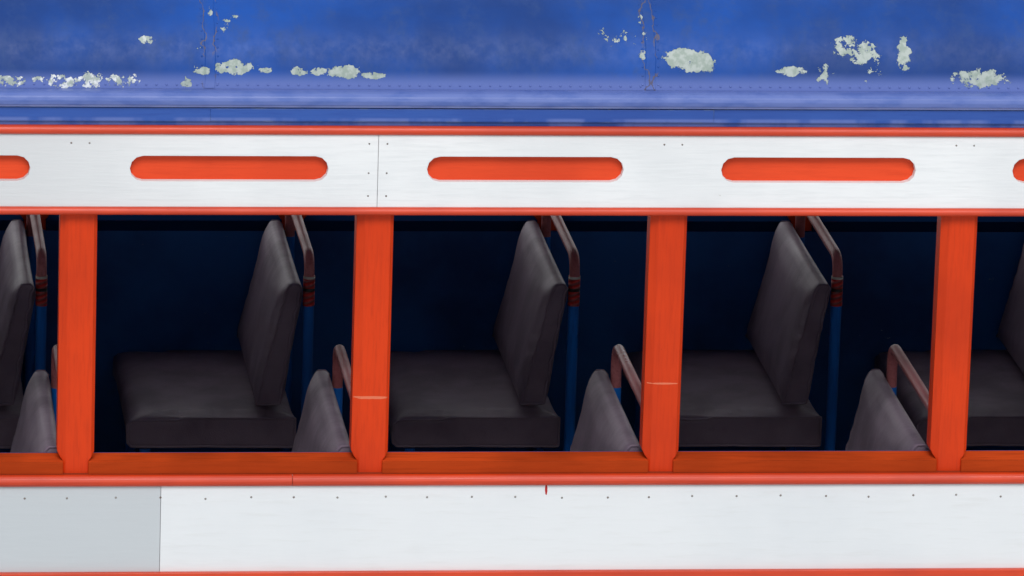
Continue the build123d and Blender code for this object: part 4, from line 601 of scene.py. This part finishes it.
class Shape:
    """A mesh gathered from simple forms and then placed on a body of the part."""

    def __init__(self):
        self.points = []
        self.faces = []

    def add(self, points, faces):
        start = len(self.points)
        self.points += [tuple(p) for p in points]
        self.faces += [tuple(start + index for index in face) for face in faces]

    def box(self, x0, x1, y0, y1, z0, z1):
        """A box between two limits on each axis, in any order across and along the bus."""
        corners = [(x, y, z) for x in sorted((x0, x1)) for y in sorted((y0, y1)) for z in (z0, z1)]
        sides = [(0, 1, 3, 2), (4, 6, 7, 5), (0, 4, 5, 1), (2, 3, 7, 6), (0, 2, 6, 4), (1, 5, 7, 3)]
        self.add(corners, sides)

    def rings(self, rings, closed=False):
        """Rings of the same number of points joined in a row."""
        count = len(rings[0])
        faces = []
        pairs = list(zip(range(len(rings) - 1), range(1, len(rings))))
        if closed:
            pairs.append((len(rings) - 1, 0))
        for a, b in pairs:
            for k in range(count):
                n = (k + 1) % count
                faces.append((a * count + k, a * count + n, b * count + n, b * count + k))
        if not closed:
            faces.append(tuple(range(count))[::-1])
            faces.append(tuple((len(rings) - 1) * count + k for k in range(count)))
        self.add([p for ring in rings for p in ring], faces)

    def tube(self, path, radius, sides=12):
        """A round tube along points."""
        path = [Vector(p) for p in path]
        rings = []
        side = None
        for index, point in enumerate(path):
            ahead = path[min(index + 1, len(path) - 1)] - path[max(index - 1, 0)]
            ahead.normalize()
            if side is None:
                side = ahead.orthogonal().normalized()
            side = (side - ahead * side.dot(ahead)).normalized()
            other = ahead.cross(side)
            turns = [2 * math.pi * k / sides for k in range(sides)]
            rings.append([point + side * radius * math.cos(t) + other * radius * math.sin(t) for t in turns])
        self.rings(rings)

    def turned(self, outline, centre, axis="y", steps=48, teeth=1, closed=False):
        """A turned form from points (place along the axis, radius, depth cut between teeth)."""
        rings = []
        for place, radius, cut in outline:
            ring = []
            for k in range(steps):
                turn = 2 * math.pi * k / steps
                reach = radius - (cut if (k * teeth // steps) % 2 else 0)
                u, v = reach * math.cos(turn), reach * math.sin(turn)
                offset = (u, place, v) if axis == "y" else (place, u, v)
                ring.append(Vector(centre) + Vector(offset))
            rings.append(ring)
        self.rings(rings, closed=closed)

    def dome(self, centre, outward, radius, height, sides=8):
        """A low round head, such as a nail or a rivet."""
        outward = Vector(outward).normalized()
        side = outward.orthogonal().normalized()
        other = outward.cross(side)
        rings = []
        for share, rise in ((1.0, -0.3), (0.9, 0.5), (0.5, 0.9)):
            turns = [2 * math.pi * k / sides for k in range(sides)]
            middle = Vector(centre) + outward * height * rise
            reach = radius * share
            rings.append([middle + (side * math.cos(t) + other * math.sin(t)) * reach for t in turns])
        self.rings(rings)

    def made(self, name, material, slot, body="root", instead_of=(), smooth=35, bevel=0.0):
        mesh = bpy.data.meshes.new(name)
        mesh.from_pydata(self.points, [], self.faces)
        mesh.validate()
        mesh.shade_smooth()
        mesh.set_sharp_from_angle(angle=math.radians(smooth))
        return placed(name, mesh, material, body, instead_of, bevel)


def linked(name, data):
    """An object made from its data and added to the scene."""
    made = bpy.data.objects.new(name, data)
    scene.collection.objects.link(made)
    return made


def placed(name, mesh, material, body="root", instead_of=(), bevel=0.0):
    """An object made from a mesh, with its material, its body and the nodes that it stands for."""
    piece = linked(name, mesh)
    mesh.materials.clear()
    mesh.materials.append(material)
    if bevel:
        rounding = piece.modifiers.new("rounded_edges", "BEVEL")
        rounding.width = bevel
        rounding.segments = 2
    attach(piece, body)
    if instead_of:
        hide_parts(*instead_of)
    return piece


def arc(centre, radius, first, last, steps):
    """Points (u, v) on an arc between two angles in degrees."""
    turns = [math.radians(first + (last - first) * k / steps) for k in range(steps + 1)]
    return [(centre[0] + radius * math.cos(t), centre[1] + radius * math.sin(t)) for t in turns]


# Roof seams


def roof_line(rise, first_z):
    """The roof's outline over the top from one drip moulding to the other, raised by rise."""
    centre = HALF_WIDTH - ROOF_CORNER
    start = math.degrees(math.asin((first_z - ROOF_FOOT) / ROOF_CORNER))
    corner = arc((centre, ROOF_FOOT), ROOF_CORNER + rise, start, math.degrees(ROOF_CORNER_TURN), 14)
    shoulder = centre + ROOF_CORNER * math.cos(ROOF_CORNER_TURN)
    crown_radius = shoulder / math.cos(ROOF_CORNER_TURN)
    crown_centre = ROOF_FOOT + (ROOF_CORNER - crown_radius) * math.sin(ROOF_CORNER_TURN)
    crown = arc((0, crown_centre), crown_radius + rise, 80, 100, 24)[1:-1]
    return corner + crown + [(-y, z) for y, z in reversed(corner)]


SEAMS_X = [SEAM_FIRST + SEAM_PITCH * k for k in range(-4, 3)]
SEAM_RISE, SEAM_FOOT, SEAM_SLOPE, SEAM_WANDER = 0.0018, 2.823, 0.002, 0.0015
RIVET_OFFSET, RIVETS_FROM, RIVETS_AWAY_FROM = 0.019, 2.835, 1.9
LOW_RIVETS_Z, RIVET_PITCH, RIVET_END = 2.831, 0.0245, 0.12


def roof_seams():
    """Lapped seams over the roof, a little wavy, with a row of rivets on each edge."""
    strips, rivets = Shape(), Shape()
    low, high = roof_line(0.0002, SEAM_FOOT), roof_line(SEAM_RISE, SEAM_FOOT)
    top_half = SEAM_HALF - SEAM_SLOPE
    for x in SEAMS_X:
        rings = []
        for (y0, z0), (y1, z1) in zip(low, high):
            spot = x + random.uniform(-SEAM_WANDER, SEAM_WANDER)
            rings.append([(spot - SEAM_HALF, y0, z0), (spot - top_half, y1, z1),
                          (spot + top_half, y1, z1), (spot + SEAM_HALF, y0, z0)])
        strips.rings(rings)
        for offset in (-RIVET_OFFSET, RIVET_OFFSET):
            for y, z in roof_line(0.0, RIVETS_FROM):
                rivets.dome((x + offset, y, z), (0, y, z - RIVETS_AWAY_FROM), 0.0028, 0.0016, 6)
    strips.made("roof_seams", ROOF_PAINT, "blue_sheet")
    turn = math.asin((LOW_RIVETS_Z - ROOF_FOOT) / ROOF_CORNER)
    reach = HALF_WIDTH - ROOF_CORNER + ROOF_CORNER * math.cos(turn)
    for side in (LEFT, RIGHT):
        x = -BODY_END + RIVET_END
        while x < BODY_END - RIVET_END:
            rivets.dome((x, side * reach, LOW_RIVETS_Z), (0, side, 0.1), 0.003, 0.0022, 6)
            x += RIVET_PITCH
    rivets.made("roof_rivets", ROOF_PAINT, "blue_sheet")


roof_seams()

# Lapped plates on the flat strip of the fascia: from x, to x
FASCIA_LAPS = [(-4.27, -3.05), (-1.82, -0.60), (0.624, 1.849), (3.07, 4.20)]
laps = Shape()
for side in (LEFT, RIGHT):
    for x0, x1 in FASCIA_LAPS:
        laps.box(x0, x1, side * (STRIP_FACE - 0.002), side * (STRIP_FACE + 0.0012),
                 STRIP_LOW + 0.001, STRIP_TOP - 0.0005)
laps.made("fascia_laps", FASCIA_PAINT, "blue_sheet")


# Nails and seams of the side

RUNS = {
    LEFT: [(-BODY_END, POSTS_X[11])],
    RIGHT: [(-BODY_END, POSTS_X[1]), (POSTS_X[2], POSTS_X[11])],
}
NAIL_LINE, NAIL_PITCH, STRIPE_NAILS = 1.797, 0.110, STRIPE_LOW - 0.03
BOARD_NAILS = (BOARD_LOW + 0.028, BOARD_LOW + 0.085, BOARD_TOP - 0.022)
BOARD_JOINTS = (4, 8)
nails = Shape()
for side in (LEFT, RIGHT):
    for x0, x1 in RUNS[side]:
        x = x0 + 0.05
        while x < x1 - 0.02:
            spot = x + random.uniform(-0.006, 0.006)
            height = NAIL_LINE + random.uniform(-0.003, 0.003)
            nails.dome((spot, side * PANEL_FACE, height), (0, side, 0), 0.003, 0.001)
            if int(x / NAIL_PITCH) % 2:
                nails.dome((spot, side * PANEL_FACE, STRIPE_NAILS), (0, side, 0), 0.0035, 0.001)
            x += NAIL_PITCH
    for k in range(13):
        for offset in (-0.022, 0.022):
            for height in BOARD_NAILS:
                if k in BOARD_JOINTS or height > BOARD_LOW + 0.1:
                    spot = POSTS_X[k] + offset
                    nails.dome((spot, side * BOARD_FACE, height), (0, side, 0), 0.0026, 0.0006)
nails.made("panel_nails", NAIL_METAL, "steel")


# Seats


def side_tube(points, radius, steps=6):
    """A path in the plane of (y, z) with its corners bent to a radius."""
    points = [Vector(p) for p in points]
    path = [points[0]]
    for before, corner, after in zip(points, points[1:], points[2:]):
        start = corner + (before - corner).normalized() * radius
        end = corner + (after - corner).normalized() * radius
        for k in range(steps + 1):
            t = k / steps
            path.append(start * (1 - t) ** 2 + corner * 2 * t * (1 - t) + end * t ** 2)
    return path + [points[-1]]


OUTER_SINGLE = -BENCH_INNER - (BENCH_OUTER - BENCH_INNER) * 0.4
BENCHES = [(POSTS_X[k], BENCH_INNER, BENCH_OUTER) for k in range(1, 10)]
BENCHES += [(POSTS_X[k], -BENCH_OUTER, -BENCH_INNER) for k in range(2, 10)]
BENCHES += [(POSTS_X[10], -BENCH_OUTER, OUTER_SINGLE)]
TUBE_INSET, TUBE_RADIUS, BAR_RADIUS, BAR_DROP = 0.030, 0.0148, 0.012, 0.05
UPRIGHT_BACK, LEG_AHEAD = 0.0303, 0.405
RAIL_BEND, RAIL_FOOT, TAPE_THICK = 0.055, 0.06, 0.0022
REAR_GAP, REAR_BOARD_THICK, REAR_BOARD_PAST = 0.06, 0.025, 0.014


def benches_of_tubes():
    """Round seat frames, and over each back a rail that bends down into both uprights.
    The rails on the right side are wound with tape under their bend at the aisle."""
    blue, maroon, tape = Shape(), Shape(), Shape()
    low = BACK_TOP - RAIL_FOOT
    bar = CUSHION_LOW - BAR_DROP
    for post_x, y0, y1 in BENCHES:
        x = post_x + SEAT_BACK_X - UPRIGHT_BACK
        front = post_x + SEAT_BACK_X + LEG_AHEAD
        inner, outer = y0 + TUBE_INSET, y1 - TUBE_INSET
        corners = [(inner, low), (inner, RAIL_Z), (outer, RAIL_Z), (outer, low)]
        maroon.tube([(x, y, z) for y, z in side_tube(corners, RAIL_BEND)], RAIL_RADIUS)
        for y in (inner, outer):
            blue.tube([(x, y, FLOOR_TOP), (x, y, low + 0.002)], TUBE_RADIUS)
            blue.tube([(front, y, FLOOR_TOP), (front, y, CUSHION_LOW)], TUBE_RADIUS)
            blue.tube([(x, y, bar), (front, y, bar)], BAR_RADIUS)
        if y0 < 0:
            tape.tube([(x, outer, WOUND_LOW), (x, outer, WOUND_TOP)], RAIL_RADIUS + TAPE_THICK)
    front = REAR_WALL + REAR_GAP + SHORT_CUSHION - 0.08
    edge = BENCH_OUTER + REAR_BOARD_PAST
    blue.box(front, front + REAR_BOARD_THICK, -edge, edge, FLOOR_TOP, CUSHION_LOW)
    x, low_y, high_y = DRIVER_SEAT_X, DRIVER_SEAT_Y - DRIVER_SEAT_HALF, DRIVER_SEAT_Y + DRIVER_SEAT_HALF
    low_y, high_y = low_y + TUBE_INSET, high_y - TUBE_INSET
    blue.box(x + 0.04, x + 0.42, low_y, high_y, FLOOR_TOP, CUSHION_LOW)
    upright = x - 0.02 - UPRIGHT_BACK
    for y in (low_y, high_y):
        blue.tube([(upright, y, FLOOR_TOP), (upright, y, BACK_TOP)], TUBE_RADIUS)
    blue.made("seat_frame_tubes", TUBE_PAINT, "blue_tube", instead_of=["seat_frames"])
    maroon.made("bent_grab_rails", RAIL_PAINT, "maroon_tube", instead_of=["grab_rails"])
    tape.made("rail_tape", TAPE, "maroon_tube")


benches_of_tubes()


def cushion_outline(length):
    """The side of a cushion, x forward from its back edge: flat below, rounded at the front."""
    top, low, r = CUSHION_TOP, CUSHION_LOW, 0.035
    front = arc((length - r, top - r), r, 0, 90, 5)
    return [(0, low), (length - r / 2, low), (length, low + r / 2)] + front + [(0, top)]


def back_outline():
    """The side of a seat back: it leans to the rear and is thinner at its top."""
    low = CUSHION_TOP + 0.020
    return [(0.045, low), (0.115, low), (0.0295, BACK_TOP - 0.012), (0.0175, BACK_TOP), (-0.008, BACK_TOP),
            (-0.015, BACK_TOP - 0.012)]


def shrunk(outline, distance):
    """The outline with each point moved by a distance towards the middle, or away if it is below 0."""
    middle = Vector((sum(u for u, _ in outline), sum(v for _, v in outline))) / len(outline)
    return [Vector(p) + (middle - Vector(p)).normalized() * distance for p in outline]


PAD_START, PAD_CAP, PAD_VOXEL = 0.006, 0.012, 0.011
CLOTH_STEPS, CLOTH_PRESSURE, CLOTH_QUALITY = 20, 4, 5
WELT_RADIUS, WELT_OUT, WELT_RISE, WELT_STEP = 0.0034, 0.004, 0.0008, 0.02


def stuffed(name, outline, width, foot):
    """A pad swollen by a short run of cloth under pressure. No point sinks below foot."""
    shape = Shape()
    inset = shrunk(outline, PAD_START)
    half = width / 2 - PAD_START
    shape.rings([[(u, y, v) for u, v in inset] for y in (-half, half)])
    mesh = bpy.data.meshes.new(name)
    mesh.from_pydata(shape.points, [], shape.faces)
    pad = linked(name + "_start", mesh)
    voxels = pad.modifiers.new("voxels", "REMESH")
    voxels.mode = "VOXEL"
    voxels.voxel_size = PAD_VOXEL
    view = bpy.context.evaluated_depsgraph_get()
    dense = bpy.data.meshes.new_from_object(pad.evaluated_get(view))
    pad.modifiers.clear()
    pad.data = dense
    start = [v.co.copy() for v in dense.vertices]
    result = dense
    cloth = pad.modifiers.new("cloth", "CLOTH")
    cloth.settings.use_pressure = True
    cloth.settings.uniform_pressure_force = CLOTH_PRESSURE
    cloth.settings.effector_weights.gravity = 0
    cloth.settings.quality = CLOTH_QUALITY
    for step in range(1, CLOTH_STEPS + 1):
        scene.frame_set(step)
    view = bpy.context.evaluated_depsgraph_get()
    result = bpy.data.meshes.new_from_object(pad.evaluated_get(view))
    scene.frame_set(1)
    for vertex, origin in zip(result.vertices, start):
        moved = vertex.co - origin
        if moved.length > PAD_CAP:
            vertex.co = origin + moved.normalized() * PAD_CAP
    for vertex in result.vertices:
        vertex.co.z = max(vertex.co.z, foot)
    bpy.data.objects.remove(pad)
    result.shade_smooth()
    return result


def piping(outline, width, mesh):
    """Welts that follow the rounded edges at both ends of a pad."""
    surface = BVHTree.FromPolygons([v.co for v in mesh.vertices], [tuple(p.vertices) for p in mesh.polygons])
    corners = shrunk(outline, -WELT_OUT)
    welts = Shape()
    for y in (-width / 2 - WELT_OUT, width / 2 + WELT_OUT):
        loop = []
        for first, second in zip(corners, corners[1:] + corners[:1]):
            parts = max(1, round((second - first).length / WELT_STEP))
            for k in range(parts):
                u, v = first.lerp(second, k / parts)
                spot, outward, _, _ = surface.find_nearest((u, y, v))
                loop.append(spot + outward * WELT_RISE)
        welts.tube(loop + [loop[0]], WELT_RADIUS, 6)
    return welts.points, welts.faces


PADS = {}


def add_pad(name, width, x, y, length=0.0):
    """A cushion of some length, or a back where no length is given, at its place."""
    kind, node = ("cushion", "seat_cushions") if length else ("back", "seat_backs")
    outline = cushion_outline(length) if length else back_outline()
    foot = CUSHION_LOW + 0.0005 if length else CUSHION_TOP + 0.012
    key = (kind, round(width, 3), length)
    if key not in PADS:
        pad = stuffed(f"{kind}_pad_{len(PADS)}", outline, width, foot)
        PADS[key] = pad, piping(outline, width, pad)
    pad, (points, faces) = PADS[key]
    mesh = pad.copy()
    mesh.transform(Matrix.Translation((x, y, 0)))
    piece = placed(name, mesh, VINYL_COVER, instead_of=[node])
    welts = Shape()
    welts.add([(px + x, py + y, pz) for px, py, pz in points], faces)
    welts.made(name + "_welt", VINYL_COVER, "vinyl")


for index, (post_x, y0, y1) in enumerate(BENCHES):
    x, width, y = post_x + SEAT_BACK_X, y1 - y0, (y0 + y1) / 2
    add_pad(f"bench_cushion_{index}", width, x - 0.015, y, CUSHION_LENGTH)
    add_pad(f"bench_back_{index}", width, x, y)
REAR_WIDTH = 2 * (BENCH_OUTER + 0.004)
add_pad("rear_cushion", REAR_WIDTH, REAR_WALL + REAR_GAP, 0, SHORT_CUSHION)
add_pad("rear_back", REAR_WIDTH, REAR_WALL + 0.0153, 0)
add_pad("driver_cushion", 2 * DRIVER_SEAT_HALF, DRIVER_SEAT_X + 0.02, DRIVER_SEAT_Y, SHORT_CUSHION)
add_pad("driver_back", 2 * DRIVER_SEAT_HALF, DRIVER_SEAT_X - 0.02, DRIVER_SEAT_Y)


# Wheels

# A tyre from bead to bead: place across, radius, depth of the cuts between the shoulder blocks
TYRE_OUTLINE = [
    (-0.085, 0.254, 0), (-0.098, 0.262, 0), (-0.108, 0.290, 0), (-0.113, 0.330, 0),
    (-0.1145, 0.370, 0), (-0.112, 0.405, 0), (-0.105, 0.440, 0), (-0.097, 0.466, 0.006),
    (-0.092, 0.480, 0.012), (-0.086, 0.485, 0.012), (-0.056, 0.485, 0.012), (-0.055, 0.474, 0),
    (-0.047, 0.474, 0), (-0.046, 0.485, 0), (-0.018, 0.485, 0), (-0.017, 0.475, 0),
    (-0.009, 0.475, 0), (-0.008, 0.485, 0), (0.000, 0.485, 0),
]
TYRE_OUTLINE += [(-place, radius, cut) for place, radius, cut in reversed(TYRE_OUTLINE[:-1])]
TYRE_STEPS, TYRE_BLOCKS = 160, 80
# Rims as the part has them, with rolled lips: place along the axle from the middle of the bus, radius
FRONT_RIM = [
    (0.925, 0.0324), (0.925, 0.230), (0.917, 0.236), (0.915, 0.252),
    (0.920, 0.2545), (1.080, 0.2545), (1.085, 0.252), (1.082, 0.238),
    (1.070, 0.232), (1.035, 0.172), (1.022, 0.150), (1.020, 0.098),
    (1.026, 0.095), (1.088, 0.081), (1.095, 0.072), (1.095, 0.001),
    (1.0453, 0.001), (1.0453, 0.0324),
]
REAR_RIM = [
    (0.705, 0.0624), (0.705, 0.2545), (0.875, 0.2545), (0.876, 0.236),
    (0.974, 0.236), (0.975, 0.2545), (1.140, 0.2545), (1.145, 0.252),
    (1.142, 0.238), (1.120, 0.232), (0.920, 0.165), (0.906, 0.150),
    (0.905, 0.098), (0.912, 0.095), (1.135, 0.082), (1.145, 0.072),
    (1.145, 0.001), (0.9553, 0.001), (0.9553, 0.0624),
]
NUT_CIRCLE, NUTS = 0.122, 8
# A nut on its stud: place out from the dish, radius
NUT_OUTLINE = [(-0.002, 0.017), (0.018, 0.017), (0.019, 0.011), (0.032, 0.010)]
HAND_HOLE = 0.022
# Axle, ending of its names, x, tracks, rim, foot of the nuts, place out and radius of the hand holes' ring
AXLES = [
    ("front", "", FRONT_AXLE_X, (FRONT_TRACK,), FRONT_RIM, 1.020, 1.050, 0.200),
    ("rear", "s", REAR_AXLE_X, (REAR_OUTER, REAR_INNER), REAR_RIM, 0.905, 1.010, 0.198),
]


def wheels_of(axle, ending, x, tracks, rim, dish, hole_place, hole_ring):
    """The tyres, rims, wheel nuts and hand holes at both ends of an axle; the hand holes are black domes, as
    painted shade.
    """
    for side, hand in ((LEFT, "left"), (RIGHT, "right")):
        name, body = f"{axle}_{hand}", f"{axle}_wheel{ending}_{hand}"
        tyres, rims, nuts, holes = Shape(), Shape(), Shape(), Shape()
        for track in tracks:
            centre = (x, side * track, AXLE_Z)
            tyres.turned(TYRE_OUTLINE, centre, steps=TYRE_STEPS, teeth=TYRE_BLOCKS, closed=True)
        outline = [(side * place, radius, 0) for place, radius in rim]
        rims.turned(outline, (x, 0, AXLE_Z), steps=96, closed=True)
        for k in range(NUTS):
            turn = 2 * math.pi * (k + 0.5) / NUTS
            centre = (x + NUT_CIRCLE * math.cos(turn), 0, AXLE_Z + NUT_CIRCLE * math.sin(turn))
            nuts.turned([(side * (dish + d), r, 0) for d, r in NUT_OUTLINE], centre, steps=6)
            # The hand holes are black domes: painted shade where the openings are
            turn = 2 * math.pi * k / NUTS
            u, v = math.cos(turn), math.sin(turn)
            centre = (x + hole_ring * u, side * hole_place, AXLE_Z + hole_ring * v)
            holes.dome(centre, (-u * 0.5, side, -v * 0.5), HAND_HOLE, 0.004, 16)
        tyres.made(f"tyres_{name}", TYRE_RUBBER, "tyre", body, [f"{axle}_tyre{ending}_{hand}"], smooth=30)
        rims.made(f"rims_{name}", RIM_PAINT, "rim_paint", body, [f"{axle}_rim{ending}_{hand}"], smooth=40)
        nuts.made(f"wheel_nuts_{name}", WORN_STEEL, "steel", body, smooth=30)
        holes.made(f"hand_holes_{name}", BLACK_PLASTIC_AND_HOLE_SHADE, "chassis_paint", body)


for row in AXLES:
    wheels_of(*row)


# Lamps, plates and fittings

FACE = 4.380
LAMP_Y, LAMP_Z = 0.880, 1.130
# Place ahead of the front, radius, no teeth
BEZEL = [(0, 0.080, 0), (0, 0.092, 0), (0.014, 0.093, 0), (0.024, 0.088, 0), (0.028, 0.081, 0),
         (0.024, 0.078, 0), (0.010, 0.078, 0)]
LAMP_DOME = [(0.012, 0.078, 0), (0.024, 0.070, 0), (0.031, 0.050, 0), (0.035, 0.026, 0), (0.036, 0.004, 0)]
bezels, lenses = Shape(), Shape()
for side in (LEFT, RIGHT):
    bezels.turned(BEZEL, (FACE, side * LAMP_Y, LAMP_Z), axis="x", closed=True)
    lenses.turned(LAMP_DOME, (FACE, side * LAMP_Y, LAMP_Z), axis="x")
bezels.made("headlamp_bezels", CHROME, "steel", instead_of=["headlamps"])
lenses.made("headlamp_lenses", LAMP_GLASS, "lamp_glass")

PLATE_HALF_WIDTH, PLATE_HEIGHT, PLATE_THICK = 0.220, 0.105, 0.002
plates, screws = Shape(), Shape()
for end, low in ((1, 0.787), (-1, 0.900)):
    face = end * (FACE + PLATE_THICK)
    plates.box(end * FACE, face, -PLATE_HALF_WIDTH, PLATE_HALF_WIDTH, low, low + PLATE_HEIGHT)
    for y in (-0.190, 0.190):
        screws.dome((face, y, low + PLATE_HEIGHT / 2), (end, 0, 0), 0.006, 0.002)
plates.made("blank_plates", PLATE_PAINT, "white_sheet", bevel=0.0008)
screws.made("plate_screws", WORN_STEEL, "steel")

wipers = Shape()
for y in (0.30, -0.75):
    wipers.dome((4.352, y, 1.985), (1, 0, 0), 0.014, 0.010)
    wipers.tube([(4.354, y, 1.985), (4.347, y + 0.16, 2.16), (4.343, y + 0.28, 2.30)], 0.004, 8)
    wipers.tube([(4.341, y + 0.13, 2.16), (4.341, y + 0.40, 2.42)], 0.005, 6)
wipers.made("wipers", BLACK_PLASTIC_AND_HOLE_SHADE, "black_plastic")

mirrors = Shape()
for side in (LEFT, RIGHT):
    mirrors.box(4.3278, 4.3296, side * (HALF_WIDTH + 0.063), side * (HALF_WIDTH + 0.217), 2.128, 2.412)
mirrors.made("mirror_glasses", MIRROR_FACE, "steel", bevel=0.0006)

DOOR_HANDLES = [("driver_door", LEFT, 3.715, 1.72), ("front_passenger_door", RIGHT, 3.715, 1.60),
                ("rear_passenger_door", RIGHT, -3.485, 1.60)]
for body, side, x, z in DOOR_HANDLES:
    handle = Shape()
    y = side * HALF_WIDTH
    handle.dome((x, y, z), (0, side, 0), 0.020, 0.006, 20)
    bend, grip = y + side * 0.028, y + side * 0.034
    handle.tube([(x, y, z), (x, bend, z), (x + 0.02, grip, z), (x + 0.11, grip, z)], 0.007)
    handle.made(f"handle_{body}", CHROME, "steel", body)

dials, dial_rings = Shape(), Shape()
DASH_FACE = Vector((4.150, DRIVER_SEAT_Y, 1.805))
for offset, radius in ((-0.13, 0.045), (0.0, 0.055), (0.13, 0.045)):
    centre = (DASH_FACE.x, DASH_FACE.y + offset, DASH_FACE.z)
    dials.dome(centre, (-1, 0, 0.25), radius, 0.003, 24)
    ring = [(-0.006, radius, 0), (-0.008, radius + 0.004, 0), (0.004, radius + 0.005, 0)]
    dial_rings.turned(ring, centre, axis="x", closed=True)
dials.made("dials", BLACK_PLASTIC_AND_HOLE_SHADE, "black_plastic")
dial_rings.made("dial_rings", CHROME, "steel")


# Camera, light and stage

CAMERA_PLACE = Vector((2.962, 16.834, 6.462))
CAMERA_TURN, CAMERA_FALL, CAMERA_ROLL = math.radians(186.8), math.radians(14.75), math.radians(1.77)
CAMERA_LENS = 234.0


def aim(turn, fall, roll):
    """The camera's axes: turn is counted from +Y towards +X, fall downward, roll about the view."""
    ahead = Vector((math.sin(turn) * math.cos(fall), math.cos(turn) * math.cos(fall), -math.sin(fall)))
    right = Vector((math.cos(turn), -math.sin(turn), 0))
    up = right.cross(ahead)
    level = right * math.cos(roll) + up * math.sin(roll)
    upright = up * math.cos(roll) - right * math.sin(roll)
    return Matrix((level, upright, -ahead)).transposed().to_4x4()


camera_data = bpy.data.cameras.new("camera")
camera_data.lens = CAMERA_LENS
camera_data.clip_end = 200
camera = linked("camera", camera_data)
camera.matrix_world = Matrix.Translation(CAMERA_PLACE) @ aim(CAMERA_TURN, CAMERA_FALL, CAMERA_ROLL)
scene.camera = camera


def sun_lamp(name, strength, spread, source):
    """A sun of a strength and a spread in degrees, shining from the direction of source."""
    data = bpy.data.lights.new(name, "SUN")
    data.energy = strength
    data.angle = math.radians(spread)
    linked(name, data).rotation_euler = Vector(source).to_track_quat("Z", "Y").to_euler()


sun_lamp("key_light", 2.3, 25, (0.05, 1.0, 0.9))
sun_lamp("fill_light", 0.5, 60, (0.8, -1.0, 0.9))

WORLD_STRENGTH = 0.55
world = bpy.data.worlds.new("pale_room")
world.use_nodes = True
scene.world = world
room = Graph(world.node_tree)
light = room.tree.nodes["Background"]
room.feed(light.inputs["Color"], (0.90, 0.94, 1.0, 1))
room.feed(light.inputs["Strength"], WORLD_STRENGTH)
pale = room.node("Background", {"Color": (0.93, 0.94, 0.95, 1)})
rays = room.node("LightPath", {}).outputs
seen = rays["Is Camera Ray"]
for kind in ("Is Glossy Ray", "Is Transmission Ray"):
    seen = room.math("MAXIMUM", seen, rays[kind])
choice = room.node("MixShader", {0: seen, 1: light.outputs[0], 2: pale.outputs[0]})
room.feed(room.tree.nodes["World Output"].inputs["Surface"], choice.outputs[0])

FLOOR_REACH = 60


def pale_floor():
    """Faintly clouded matt paint for the floor."""
    paint = Paint("pale_floor", 0.85)
    clouds = paint.ramp(paint.noise(0.6, 6), 0.3, 0.7)
    paint.set("Base Color", paint.mix(clouds, srgb(206, 206, 204), srgb(203, 203, 201)))
    return paint.data


floor_mesh = bpy.data.meshes.new("floor")
corners = [(x * FLOOR_REACH, y * FLOOR_REACH, 0) for x, y in ((-1, -1), (1, -1), (1, 1), (-1, 1))]
floor_mesh.from_pydata(corners, [], [(0, 1, 2, 3)])
floor_mesh.materials.append(pale_floor())
floor = linked("floor", floor_mesh)

scene.view_settings.view_transform = "Standard"
